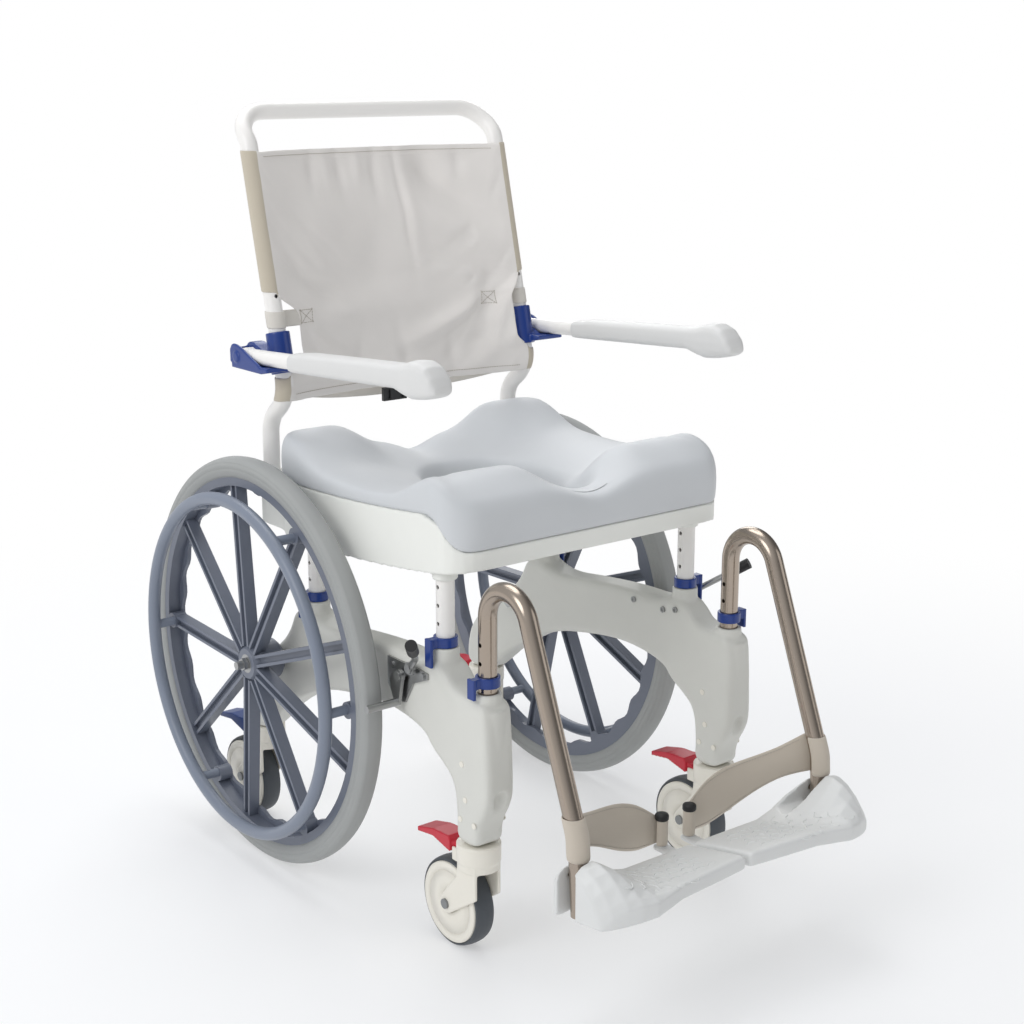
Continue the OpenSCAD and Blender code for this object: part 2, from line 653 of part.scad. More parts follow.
module castor_tyre(front, side) castor_place(front, side) color("dimgray")
    translate([0, castor_at[0], castor_at[1]]) rotate([0, 90, 0]) rotate_extrude()
        polygon([for (s = concat(castor_tyre_shares, castor_tyre_mirror_shares))
            [castor_core_r + s[0] * castor_tyre_h, s[1] * castor_w]]);

module castor_axle(front, side) castor_place(front, side) color("gray") {
    rod_x(-cheek_out, cheek_out, castor_at, castor_bolt_r);
    rod_x(-cheek_out - castor_cap_h, -cheek_out, castor_at, castor_cap_r);
    rod_x(cheek_out, cheek_out + castor_cap_h, castor_at, castor_cap_r);
}

module castor_pedal(front, side, paint) castor_place(front, side) color(paint) difference() {
    union() {
        rod_x(-lug_in + seat_gap, lug_in - seat_gap, pedal_pin_at, pedal_hub_r);
        plate_x(-lug_in + seat_gap, lug_in - seat_gap,
                [pedal_pin_at + [0, -0.5 * e], pedal_pin_at + [1.2 * e, -0.4 * e],
                 pedal_pin_at + [1.2 * e, 1 * e], pedal_pin_at + [0, 1 * e]]);
        plate_x(-pedal_w / 2, pedal_w / 2,
                [pedal_pin_at + [0.8 * e, -0.4 * e], [tread_y + 0.6 * pedal_l, pedal_pin_at[1] + 0.5 * e],
                 [tread_y + pedal_l, pedal_pin_at[1]],
                 [tread_y + pedal_l, pedal_pin_at[1] + 0.7 * e],
                 [tread_y + 0.6 * pedal_l, pedal_pin_at[1] + 1.6 * e],
                 [tread_y + 0.2 * pedal_l, pedal_pin_at[1] + 1.8 * e], pedal_pin_at + [0.8 * e, 1.2 * e]]);
    }
    rod_x(-pedal_w, pedal_w, pedal_pin_at, pedal_pin_r + run_gap);
}

// Seat

seat_tube_top = deck_z - tray_wall;
seat_rear_y = seat_l - seat_front_ahead;
opening_y = -203;
arc_steps = 5;
edge_steps = [10, 12, 10, 16];
boss_r = 17;
joint_gap = 0.9;

// The seat's plan, moved inwards by d: four arcs and the stretches between them.
function seat_loop(d) = let (w = seat_w / 2 - d, y0 = -seat_front_ahead + d, y1 = seat_rear_y - d,
        r = seat_corner_r - d, c = [[w - r, y0 + r], [w - r, y1 - r], [r - w, y1 - r], [r - w, y0 + r]],
        arc_end = [for (k = [0 : 3]) c[k] + r * [cos(90 * k), sin(90 * k)]],
        arc_start = [for (k = [0 : 3]) c[k] + r * [cos(90 * k - 90), sin(90 * k - 90)]])
    [for (k = [0 : 3]) each concat(
        [for (j = [0 : arc_steps]) let (a = 90 * (k - 1) + 90 * j / arc_steps) c[k] + r * [cos(a), sin(a)]],
        [for (j = [1 : edge_steps[k] - 1]) mix(arc_end[k], arc_start[(k + 1) % 4], j / edge_steps[k])])];

// Height of the tray's lower edge, and of the joint between tray and pad.
function tray_low(y) = let (t = clamp((seat_rear_y - y) / seat_l)) mix(tray_rear_z, tray_front_z, t * t);
function joint_z(y) = let (t = clamp((seat_rear_y - 8 * e - y) / (seat_l - 14 * e)))
    mix(joint_side_z + joint_climb * pow(t, 1.7), joint_front_z,
        smooth((-seat_front_ahead + 6 * e - y) / (5.6 * e)));

// Half size of the opening towards an angle round its middle: an oval with a slot in front.
function oval_r(a) = 1 / norm([cos(a) / opening_half_w, sin(a) / opening_half_l]);
function slot_r(a) = sin(a) > 0 ? 0
    : min(slot_half_w / max(abs(cos(a)), 0.01), slot_reach / max(-sin(a), 0.01));
function opening_r(a) = pow(pow(oval_r(a), 8) + pow(slot_r(a), 8), 1 / 8);
function opening_point(p, d) = let (v = p - [0, opening_y], a = atan2(v[1], v[0]))
    [0, opening_y] + (opening_r(a) + d) * unit(v);

// Height of the pad's top: raised corners, a low back and a bowl round the opening.
corner_lobe = 34;
rear_lobe = 30;
rear_dip = 20;
bowl_dip = 22;
function pad_top(p, t) = pad_z
    + corner_lobe * hump((abs(p[0]) - 18.6 * e) / (5.2 * e))
        * hump((p[1] + seat_front_ahead - 7.4 * e) / (5.6 * e))
    + rear_lobe * hump((abs(p[0]) - 19 * e) / (5 * e)) * hump((p[1] + 2 * e) / (5.4 * e))
    + 0.5 * e * hump((abs(p[0]) - 21 * e) / (3 * e))
    - rear_dip * hump(p[0] / (9 * e)) * hump((p[1] - 0.5 * e) / (7 * e))
    - bowl_dip * smooth((t - 0.2) / 0.8);

module seat_shell() place() color("whitesmoke") difference() {
    union() {
        skin([for (i = [0 : len(seat_loop(0)) - 1]) let (o = seat_loop(0)[i], n = seat_loop(tray_wall)[i])
            [[o[0], o[1], tray_low(o[1])], [n[0], n[1], tray_low(o[1])], [n[0], n[1], joint_z(o[1])],
             [o[0], o[1], joint_z(o[1])]]], closed = true);
        translate([0, 0, seat_tube_top]) linear_extrude(tray_wall) difference() {
            polygon(seat_loop(tray_wall / 2));
            polygon([for (p = seat_loop(0)) opening_point(p, tray_wall)]);
        }
        for (x = [-frame_x, frame_x], y = [front_y, rear_y])
            translate([x, y, seat_tube_top - 3 * e]) cylinder(h = 3 * e, r = boss_r);
        for (x = [-back_x, back_x]) translate([x, back_foot_behind, tray_rear_z + 0.8 * e]) {
            cylinder(h = 8 * e, r = boss_r);
            translate([-boss_r, seat_rear_y - back_foot_behind - 2.4 * e, 0])
                cube([2 * boss_r, back_foot_behind - seat_rear_y + 2.4 * e,
                      seat_tube_top - tray_rear_z - 0.8 * e]);
        }
    }
    for (x = [-frame_x, frame_x], y = [front_y, rear_y])
        translate([x, y, seat_tube_top - 3 * e - over]) cylinder(h = 3 * e + over, r = tube_r);
    for (x = [-back_x, back_x]) translate([x, back_foot_behind, tray_rear_z + 1.6 * e])
        cylinder(h = 8 * e, r = tube_r);
}

module seat_pad() place() color("lightgray") difference() {
    pad_form();
    // Room for the back tubes, should the seat reach them
    for (x = [-back_x, back_x]) translate([x, back_foot_behind, deck_z])
        cylinder(h = back_bend_z - deck_z, r = tube_r + tray_wall);
}

module pad_form() {
    loop = seat_loop(0);
    rim = seat_loop(tray_wall + seat_gap);
    skin([for (i = [0 : len(loop) - 1])
        let (o = loop[i], out = unit(o - seat_loop(e)[i]), n = opening_point(o, 0),
            j = joint_z(o[1]) + joint_gap, floor = deck_z + seat_gap)
        reversed(concat([[rim[i][0], rim[i][1], floor], [rim[i][0], rim[i][1], j], [o[0], o[1], j],
                pad_point(o + 0.2 * e * out, mix(j, pad_top(o, 0), 0.5)),
                pad_point(o, mix(j, pad_top(o, 0), 0.5) + 0.5 * (pad_top(o, 0) - j) - 1.5 * e)],
               [for (s = [[0.7, 0.4], [2.2, 0]]) let (q = o - s[0] * e * out)
                   pad_point(q, pad_top(q, 0) - s[1] * e)],
               [for (t = [0.35, 0.6, 0.82, 0.95]) let (q = mix(o, n, t))
                   pad_point(q, pad_top(q, t) - (t > 0.9 ? 0.3 * e : 0))],
               [pad_point(n, pad_top(n, 1) - 1.5 * e), pad_point(n, floor)]))], closed = true);
}
function pad_point(p, z) = [p[0], p[1], z];

// Tubes of the seat, with the row of height holes that the clips lock into.
module seat_tubes() both_sides() color("white")
    for (leg = [[front_y, front_mouth], [rear_y, rear_mouth]]) difference() {
        translate([frame_x, leg[0], socket_floor + seat_gap])
            cylinder(h = seat_tube_top - socket_floor - seat_gap, r = tube_r);
        translate([frame_x, leg[0], socket_floor])
            cylinder(h = seat_tube_top - socket_floor + over, r = tube_r - tube_wall);
        for (k = [-1 : holes - 1])
            rod_x(frame_x - tube_d, frame_x + tube_d,
                  [leg[0], leg[1] + seat_gap + clip_z + k * hole_pitch], hole_d / 2);
    }

clip_ring_t = 4;
clip_h = 14;
clip_tab_t = 4.4;
seat_tab_low = 25;
hanger_tab_low = 13;
clip_pin_r = hole_d / 2 - 0.02 * e;

// A locking clip: a ring round the tube, a tab down its outer side and a pin through the hole.
module clip(y, mouth, tab_out, tab_low) {
    difference() {
        union() {
            translate([frame_x, y, mouth]) cylinder(h = clip_h, r = tube_r + clip_ring_t);
            translate([frame_x, y - 0.6 * e, mouth + seat_gap])
                cube([tab_out - frame_x, 1.2 * e, clip_h - 2 * seat_gap]);
            translate([tab_out - clip_tab_t, y - 0.7 * e, mouth - tab_low])
                cube([clip_tab_t, 1.4 * e, tab_low + clip_h]);
        }
        translate([frame_x, y, mouth - over]) cylinder(h = clip_h + 2 * over, r = tube_r + slide_gap);
    }
    rod_x(frame_x + tube_r - 2 * tube_wall, frame_x + tube_r + clip_ring_t / 2, [y, mouth + clip_z],
          clip_pin_r);
}

module seat_clips() both_sides() color("mediumblue")
    for (leg = [[front_y, front_mouth], [rear_y, rear_mouth]])
        clip(leg[0], leg[1] + seat_gap, frame_out + 0.5 * e, seat_tab_low);

// Back

lean_dir = [0, sin(back_lean), cos(back_lean)];
sleeve_r = tube_r + seat_gap;
// A point of the straight back at a height, on the tube's centre line.
function on_back(x, z) = [x, back_start_behind + (z - back_start_z) * tan(back_lean), z];
bar_knee_z = fabric_top + 1.2 * e;
back_low_z = tray_rear_z + 1.6 * e;
back_bend_z = back_start_z - 3.9 * e;

back_bend_r = 4.5 * e;

// The left tube's path up to the push bar's corner, as a rod.
module back_run(r) bent_tube([[back_x, back_foot_behind, back_low_z], [back_x, back_foot_behind, back_bend_z],
                              on_back(back_x, back_start_z), on_back(back_x, bar_knee_z)],
                             [back_bend_r, back_bend_r], r, 0);

module back_tube() place() color("white") {
    bend = back_bend_r;
    left = [[back_x, back_foot_behind, back_low_z], [back_x, back_foot_behind, back_bend_z],
            on_back(back_x, back_start_z), on_back(back_x, bar_knee_z), [back_x, bar_behind, bar_z]];
    right = [for (i = [len(left) - 1 : -1 : 0]) [-left[i][0], left[i][1], left[i][2]]];
    difference() {
        bent_tube(concat(left, right), [bend, bend, 3 * e, bar_corner_r, bar_corner_r, 3 * e, bend, bend],
                  tube_r, tube_wall);
        for (x = [-back_x, back_x], k = [0 : 1])
            translate(on_back(x, sleeve_gap_high - 0.8 * e - k * hole_pitch)) rotate([90 - back_lean, 0, 0])
                cylinder(h = tube_d, r = hole_d / 2);
    }
}

// Heights of the fabric's side cut-outs, where the arm brackets hold the tubes.
sleeve_gap_high = 843;
sleeve_gap_low = 723;
panel_steps = 24;
panel_turn = 15;
// Half width of the panel at a height, and how far its middle lies behind the tubes.
function panel_half(z) = back_x - tube_r - 0.1 * e
    - 2.6 * e * smooth((z - sleeve_gap_low) / (2 * e)) * smooth((sleeve_gap_high - z) / (3 * e));
function panel_depth(x, z) = (1 - pow(x / back_x, 2))
    * (fabric_belly * smooth((z - fabric_bottom + 6 * e) / (12 * e))
        + 0.25 * e * sin(360 * x / (11 * e)) * smooth((z - fabric_bottom) / (30 * e)));

module sleeve(low, high) along(on_back(back_x, low), lean_dir) difference() {
    sleeve_form((high - low) / cos(back_lean));
    translate([0, 0, -over]) cylinder(h = (high - low) / cos(back_lean) + 2 * over, r = sleeve_r);
}

module sleeve_form(h) {
    cylinder(h = h, r = sleeve_r + fabric_t);
    // Where the sleeve's cloth meets the panel
    linear_extrude(h) polygon([[sleeve_r, -fabric_t], [sleeve_r + 0.6 * e, -fabric_t / 2],
                               [sleeve_r + 0.6 * e, fabric_t / 2], [sleeve_r, fabric_t]]);
}

// The lower sleeve, which goes with the tube into its bend.
module low_sleeve() difference() {
    union() {
        along(on_back(back_x, fabric_bottom), lean_dir)
            sleeve_form((sleeve_gap_low - fabric_bottom) / cos(back_lean));
        intersection() {
            back_run(sleeve_r + fabric_t);
            translate([back_x - 3 * e, back_start_behind - 4 * e, fabric_bottom])
                cube([6 * e, 10 * e, sleeve_gap_low - fabric_bottom]);
        }
    }
    back_run(sleeve_r);
}

module back_fabric() place() color("lightgray") {
    for (side = [-1, 1]) mirror([side < 0 ? 1 : 0, 0, 0]) {
        low_sleeve();
        sleeve(sleeve_gap_high, fabric_top);
    }
    heights = [for (k = [0 : panel_steps]) mix(fabric_bottom, fabric_top, k / panel_steps)];
    skin([for (z = heights) let (h = panel_half(z), n = panel_turn)
        concat([for (i = [0 : n]) let (x = mix(-h, h, i / n))
                    on_back(x, z) + [0, panel_depth(x, z) - fabric_t / 2, 0]],
               [for (i = [n : -1 : 0]) let (x = mix(-h, h, i / n))
                    on_back(x, z) + [0, panel_depth(x, z) + fabric_t / 2, 0]])]);
}

// Straps: one loop round each tube over the arm bracket, and the tension strap under the fabric.
strap_t = 1.6;
strap_gap = 1;
strap_w = 24;
strap_z = 792;
tension_z = 700;
tension_sag = 23;
tension_w = 17;
tension_behind = 12;

module back_strap() place() color("tan") {
    for (side = [-1, 1]) mirror([side < 0 ? 1 : 0, 0, 0]) {
        along(on_back(back_x, strap_z), lean_dir) difference() {
            cylinder(h = strap_w, r = sleeve_r + strap_t);
            translate([0, 0, -over]) cylinder(h = strap_w + 2 * over, r = sleeve_r);
        }
        // From the loop inwards, behind the panel that it is sewn to
        skin([for (i = [0 : 5]) let (x = back_x - sleeve_r - strap_t / 2 - i * 0.8 * e)
            [for (c = [[0, 0], [0, 1], [1, 1], [1, 0]]) let (z = strap_z + c[1] * strap_w,
                behind = clamp(i / 2) * (panel_depth(x, z) + fabric_t / 2 + strap_gap))
                on_back(x, z) + [0, behind + c[0] * strap_t, 0]]]);
    }
    half = back_x - tube_r - 0.8 * e;
    n = 16;
    // It lies flat on the panel at its ends and hangs upright in the middle
    skin([for (i = [0 : n]) let (x = mix(-half, half, i / n), hang = 1 - pow(x / half, 2),
            z = tension_z - tension_sag * hang)
        [for (c = [[0, -1], [1, -1], [1, 1], [0, 1]])
            let (at = z + (1 - hang) * c[1] * tension_w / 2,
                y = on_back(x, at)[1] + panel_depth(x, at) + fabric_t / 2 + strap_gap
                    + tension_behind * hang + c[0] * strap_t)
            [x, y, z + c[1] * tension_w / 2]]]);
}

buckle_x = -24;
buckle_w = 42;
buckle_t = 6;
module strap_buckle() place() color("black") {
    z = tension_z - tension_sag;
    y = on_back(0, z)[1] + panel_depth(buckle_x, z) + fabric_t / 2 + strap_gap + tension_behind;
    difference() {
        translate([buckle_x - buckle_w / 2, y - buckle_t - seat_gap, z - tension_w / 2 - 0.3 * e])
            cube([buckle_w, buckle_t, tension_w + 0.3 * e]);
        for (x = [buckle_x - buckle_w / 2 + 0.6 * e, buckle_x + buckle_w / 2 - 1.2 * e])
            translate([x, y - buckle_t - over, z - tension_w / 2])
                cube([0.6 * e, buckle_t / 2, tension_w - 0.3 * e]);
    }
}

// Arms

arm_pivot = [arm_pivot_behind, arm_pivot_z];
beam_r = beam_d / 2;
eye_r = beam_r + 0.05 * e;
arm_pin_r = 4;
bracket_low = 728;
bracket_high = 786;
bracket_r = tube_r + 0.5 * e;
cheek_gap = 0.6;
arm_end_ahead = 400;
arm_cheek_t = 4.4;
bracket_back = arm_pivot_behind + beam_r + 0.4 * e;

module arm_brackets() both_sides() color("mediumblue") {
    difference() {
        union() {
            along(on_back(back_x, bracket_low), lean_dir)
                cylinder(h = (bracket_high - bracket_low) / cos(back_lean), r = bracket_r);
            // Fork of two cheeks, a back wall and the lip that the beam rests on
            plate_x(back_x, arm_x - beam_r - cheek_gap, bracket_side);
            plate_x(arm_x + beam_r + cheek_gap, arm_x + beam_r + cheek_gap + arm_cheek_t, bracket_side);
            plate_x(back_x, arm_x + beam_r + cheek_gap + arm_cheek_t,
                [[bracket_back, bracket_low + 1.2 * e], [bracket_back + 0.5 * e, bracket_low + 1.4 * e],
                 [bracket_back + 0.5 * e, arm_pivot_z + 1 * e], [bracket_back, arm_pivot_z + 1.2 * e]]);
            plate_x(back_x, arm_x + beam_r + cheek_gap + arm_cheek_t, bracket_lip);
        }
        along(on_back(back_x, bracket_low - 3 * e), lean_dir) cylinder(h = 12 * e, r = tube_r);
    }
    rod_x(arm_x - beam_r - cheek_gap - over, arm_x + beam_r + cheek_gap + over, arm_pivot, arm_pin_r);
    rod_x(arm_x + beam_r + cheek_gap + arm_cheek_t, arm_x + beam_r + cheek_gap + arm_cheek_t + screw_h,
          arm_pivot, arm_pin_r * 2);
}
bracket_side = cut_corners(cut_corners([[bracket_back + 0.5 * e, bracket_low + 0.6 * e],
    [bracket_back + 0.5 * e, arm_pivot_z + 1.8 * e],
    [arm_pivot_behind - 0.6 * e, arm_pivot_z + 1.8 * e], [1.2 * e, arm_pivot_z + 0.4 * e],
    [-1.6 * e, arm_pivot_z - 0.6 * e], [-1.6 * e, bracket_low + 0.6 * e]]));
lip_z = arm_pivot_z - beam_r / cos(arm_rise) - seat_gap;
bracket_lip = [[bracket_back + over, bracket_low + 0.6 * e],
    [bracket_back + over, lip_z - (bracket_back - arm_pivot_behind) * tan(arm_rise) - over],
    [arm_pivot_behind, lip_z - over],
    [-1.6 * e, lip_z + (arm_pivot_behind + 1.6 * e) * tan(arm_rise)],
    [-3.4 * e, lip_z + (arm_pivot_behind + 3.4 * e) * tan(arm_rise)], [-3.4 * e, bracket_low + 1 * e],
    [-1.6 * e, bracket_low + 0.6 * e]];

// Draws along the arm's own axis, forwards from its pivot.
module arm_place(side) on_side(side) translate([arm_x, arm_pivot_behind, arm_pivot_z])
    rotate([90 - arm_rise, 0, 0]) children();
arm_reach = (arm_end_ahead + arm_pivot_behind) / cos(arm_rise);

module arm_beam(side) color("white") difference() {
    union() {
        arm_place(side) linear_extrude(arm_reach) circle(r = beam_r);
        on_side(side) rod_x(arm_x - beam_r - seat_gap, arm_x + beam_r + seat_gap, arm_pivot, eye_r);
    }
    arm_place(side) translate([0, 0, 2 * beam_d]) cylinder(h = arm_reach, r = beam_r - tube_wall);
    on_side(side) rod_x(arm_x - beam_d, arm_x + beam_d, arm_pivot, arm_pin_r + run_gap);
}

// Stations of the arm pad: share of its length, top and bottom against the beam's axis,
// and the half width, all as shares of the pad's width.
arm_pad_shares = [[0, 0.3, -0.3, 0.36], [0.015, 0.35, -0.33, 0.44], [0.12, 0.42, -0.335, 0.47],
    [0.4, 0.45, -0.335, 0.47], [0.74, 0.48, -0.335, 0.47], [0.8, 0.54, -0.5, 0.49], [0.85, 0.66, -0.6, 0.52],
    [0.9, 0.66, -0.58, 0.53], [0.945, 0.5, -0.52, 0.51], [0.98, 0.18, -0.46, 0.46], [1, -0.12, -0.36, 0.34]];
arm_section_steps = 16;

module arm_pad(side) color("gainsboro") difference() {
    on_side(side) skin([for (s = arm_pad_shares)
        let (y = -mix(pad_start_ahead, pad_front_ahead, s[0]),
             z = arm_pivot_z + (arm_pivot_behind - y) * tan(arm_rise),
             mid = z + (s[1] + s[2]) / 2 * arm_pad_w, high = (s[1] - s[2]) / 2 * arm_pad_w)
        [for (i = [0 : arm_section_steps - 1]) let (a = 360 * i / arm_section_steps)
            [arm_x + 0.1 * e + s[3] * arm_pad_w * sign(cos(a)) * pow(abs(cos(a)), 0.6), y,
             mid + high * sign(sin(a)) * pow(abs(sin(a)), 0.6)]]]);
    arm_place(side) cylinder(h = arm_reach + seat_gap, r = beam_r);
}

// Leg rests

bend_centre_z = hanger_top - hanger_bend_r;
peak_z = bend_centre_z + hanger_bend_r * tan(90 - hanger_slope / 2);
knee_ahead = hanger_ahead + (peak_z - hanger_knee_z) * tan(hanger_slope);
foot_slope = 4;
hanger_end_ahead = knee_ahead + (hanger_knee_z - hanger_end_z) * tan(foot_slope);
// Place of the lower tube's centre line at a height, ahead of the axle.
function shin_ahead(z) = z > hanger_knee_z ? hanger_ahead + (peak_z - z) * tan(hanger_slope)
    : knee_ahead + (hanger_knee_z - z) * tan(foot_slope);
foot_pin_r = 4;
foot_ahead = shin_ahead(foot_pivot_z);
slot_gap = 2.6;
clip_lift = 8;
hanger_bottom = socket_floor + seat_gap;

module hanger(side) on_side(side) color("silver") {
    difference() {
        bent_tube([[frame_x, hanger_y, hanger_bottom], [frame_x, hanger_y, peak_z],
                   [frame_x, -knee_ahead, hanger_knee_z], [frame_x, -hanger_end_ahead, hanger_end_z]],
                  [hanger_bend_r, 6 * e], tube_r, tube_wall);
        for (k = [0 : 2])
            rod_x(frame_x - tube_d, frame_x + tube_d,
                  [hanger_y, hanger_mouth + clip_lift + clip_z + k * hole_pitch], hole_d / 2);
    }
    // The pin that the footplate turns on
    translate([frame_x, -foot_ahead + tube_r + 1.2 * e, foot_pivot_z]) rotate([90, 0, 0])
        cylinder(h = tube_d + 2.4 * e, r = foot_pin_r);
}

module hanger_clip(side) on_side(side) color("mediumblue")
    clip(hanger_y, hanger_mouth + clip_lift, frame_x + 2.8 * e, hanger_tab_low);

// Stations across a footplate: distance from the chair's centre plane, then rear and front
// ahead of the axle, and heights of the top at the rear, middle and front and of the bottom
// at the rear and front, all as shares.
plate_x_in = plate_gap;
plate_x_out = frame_x + 2.3 * e;
plate_l = plate_front_ahead - plate_rear_ahead;
plate_h = plate_l * 0.67;
plate_base = hanger_end_z - 0.4 * e;
plate_shares = [[0, 0.02, 0.82, 0.3, 0.44, 0.56, 0.19, 0.36], [0.02, 0, 0.83, 0.33, 0.46, 0.59, 0.17, 0.35],
    [0.5, 0, 0.9, 0.33, 0.46, 0.59, 0.14, 0.33], [0.62, 0, 0.96, 0.42, 0.52, 0.58, 0.12, 0.32],
    [0.72, 0, 1, 0.56, 0.68, 0.57, 0.09, 0.3], [0.81, 0, 0.96, 0.63, 0.86, 0.56, 0.06, 0.27],
    [0.88, 0, 0.9, 0.67, 0.97, 0.52, 0.04, 0.23], [0.95, 0.01, 0.82, 0.65, 0.92, 0.4, 0.01, 0.19],
    [0.99, 0.03, 0.76, 0.6, 0.83, 0.26, 0.02, 0.17], [1, 0.06, 0.73, 0.55, 0.78, 0.21, 0.05, 0.17]];
top_shares = [0.06, 0.2, 0.35, 0.5, 0.65, 0.8, 0.94];
peg_x = 25;
peg_ahead = plate_rear_ahead - 3 * e;
peg_r = 6;
peg_top = 197;
lug_t = 5;

// Height of the plate's top across its length, through its rear, middle and front heights.
function plate_top(s, t) = plate_base + plate_h * (s[3] * (1 - t) * (1 - 2 * t) + 4 * s[4] * t * (1 - t)
    + s[5] * t * (2 * t - 1));

module footplate(side) on_side(side) color("gainsboro") difference() {
    union() {
        skin([for (s = plate_shares)
            let (x = mix(plate_x_in, plate_x_out, s[0]), y0 = -plate_rear_ahead - s[1] * plate_l,
                 y1 = -plate_rear_ahead - s[2] * plate_l, z0 = plate_base + s[6] * plate_h,
                 z1 = plate_base + s[7] * plate_h, in = 0.2 * e)
            concat([[x, y1, plate_top(s, 1) - in], [x, y1, z1 + in], [x, y1 + in, z1],
                    [x, mix(y0, y1, 0.5), mix(z0, z1, 0.5)], [x, y0 - in, z0], [x, y0, z0 + in],
                    [x, y0, plate_top(s, 0) - in]],
                   [for (t = top_shares) [x, mix(y0, y1, t), plate_top(s, t)]])]);
        // The lug behind the plate, and the peg that holds the heel strap
        translate([peg_x - 1.1 * e, -plate_rear_ahead - over, plate_base + 0.17 * plate_h])
            cube([2.2 * e, plate_rear_ahead - peg_ahead + over, lug_t]);
        translate([peg_x, -peg_ahead, plate_base + 0.17 * plate_h]) cylinder(h = lug_t, r = 1.1 * e);
        translate([peg_x, -peg_ahead, plate_base + 0.17 * plate_h])
            cylinder(h = peg_top - plate_base - 0.17 * plate_h, r = peg_r);
    }
    foot_slot();
    translate([frame_x, -foot_ahead + tube_d + 2 * e, foot_pivot_z]) rotate([90, 0, 0])
        cylinder(h = tube_d + 5 * e, r = foot_pin_r + run_gap);
}

// The room that the tube needs while the plate swings up round it.
module foot_slot() {
    g = tube_r + slot_gap;
    wide = [for (z = [foot_pivot_z, foot_pivot_z + 5.5 * e, foot_pivot_z + 9.5 * e, foot_pivot_z + 13 * e])
        [frame_x + foot_pivot_z - z, shin_ahead(z)]];
    translate([0, 0, foot_pivot_z - g]) linear_extrude(10 * e)
        polygon(concat([[frame_x + 5 * e, -wide[0][1] - g]], [for (p = wide) [p[0], -p[1] - g]],
                       [for (i = [len(wide) - 1 : -1 : 0]) [wide[i][0], -wide[i][1] + g]],
                       [[frame_x + 5 * e, -wide[0][1] + g]]));
    translate([frame_x - g, -shin_ahead(hanger_end_z) - g, 0])
        cube([tube_d + 4 * e, shin_ahead(hanger_end_z) - shin_ahead(foot_pivot_z) + 2 * g, foot_pivot_z + g]);
}

// Heel strap: a band from a loop round the tube to a loop round the peg.
heel_t = 2.4;
heel_low = 214;
heel_high = 268;
heel_peg_low = 158;
heel_peg_high = 194;
// Width of the strap from the tube to the peg, as shares of its width round the tube
heel_shares = [1, 0.85, 0.78, 0.82, 0.93, 1.07, 1.2, 1.27, 1.22, 1, 0.64];
heel_steps = len(heel_shares) - 1;
heel_bow = 16;
module heel_strap(side) on_side(side) color("tan") {
    bent_tube([[frame_x, -shin_ahead(heel_high), heel_high], [frame_x, -knee_ahead, hanger_knee_z],
               [frame_x, -shin_ahead(heel_low), heel_low]], [6 * e], sleeve_r + heel_t, heel_t);
    translate([peg_x, -peg_ahead, heel_peg_low]) difference() {
        cylinder(h = heel_peg_high - heel_peg_low, r = peg_r + seat_gap + heel_t);
        translate([0, 0, -over]) cylinder(h = heel_peg_high - heel_peg_low + 2 * over, r = peg_r + seat_gap);
    }
    skin([for (i = [0 : heel_steps]) let (s = i / heel_steps, x = mix(frame_x, peg_x, s),
            bow = heel_bow * 4 * s * (1 - s),
            mid = mix(heel_low + heel_high, heel_peg_low + heel_peg_high, s) / 2,
            half = heel_shares[i] * (heel_high - heel_low) / 2 - over, low = mid - half, high = mid + half,
            y_low = mix(-shin_ahead(heel_low) + sleeve_r, -peg_ahead + peg_r + seat_gap, s) + bow,
            y_high = mix(-shin_ahead(heel_high) + sleeve_r, -peg_ahead + peg_r + seat_gap, s) + bow)
        [[x, y_low + seat_gap, low], [x, y_high + seat_gap, high], [x, y_high + heel_t - seat_gap, high],
         [x, y_low + heel_t - seat_gap, low]]]);
}

side_frame(-1);  // side_frame_right
side_frame(1);  // side_frame_left
frame_screws();
wheel_axles();
brake_plates();
brake_lever(-1);  // brake_lever_right
brake_lever(1);  // brake_lever_left
brake_grip(-1);  // brake_grip_right
brake_grip(1);  // brake_grip_left
brake_bar(-1);  // brake_bar_right
brake_bar(1);  // brake_bar_left
wheel_rim(-1);  // wheel_rim_right
wheel_rim(1);  // wheel_rim_left
wheel_tyre(-1);  // wheel_tyre_right
wheel_tyre(1);  // wheel_tyre_left
handrim(-1);  // handrim_right
handrim(1);  // handrim_left
hub_bearings(-1);  // hub_bearings_right
hub_bearings(1);  // hub_bearings_left
castor_fork(true, -1);  // castor_fork_front_right
castor_fork(true, 1);  // castor_fork_front_left
castor_fork(false, -1);  // castor_fork_rear_right
castor_fork(false, 1);  // castor_fork_rear_left
castor_wheel(true, -1);  // castor_wheel_front_right
castor_wheel(true, 1);  // castor_wheel_front_left
castor_wheel(false, -1);  // castor_wheel_rear_right
castor_wheel(false, 1);  // castor_wheel_rear_left
castor_tyre(true, -1);  // castor_tyre_front_right
castor_tyre(true, 1);  // castor_tyre_front_left
castor_tyre(false, -1);  // castor_tyre_rear_right
castor_tyre(false, 1);  // castor_tyre_rear_left
castor_axle(true, -1);  // castor_axle_front_right
castor_axle(true, 1);  // castor_axle_front_left
castor_axle(false, -1);  // castor_axle_rear_right
castor_axle(false, 1);  // castor_axle_rear_left
castor_pedal(true, -1, "crimson");  // castor_pedal_front_right
castor_pedal(true, 1, "crimson");  // castor_pedal_front_left
castor_pedal(false, -1, "midnightblue");  // castor_pedal_rear_right
castor_pedal(false, 1, "crimson");  // castor_pedal_rear_left
seat_shell();
seat_pad();
seat_tubes();
seat_clips();
back_tube();
back_fabric();
back_strap();
strap_buckle();
arm_brackets();
arm_beam(-1);  // arm_beam_right
arm_beam(1);  // arm_beam_left
arm_pad(-1);  // arm_pad_right
arm_pad(1);  // arm_pad_left
hanger(-1);  // hanger_right
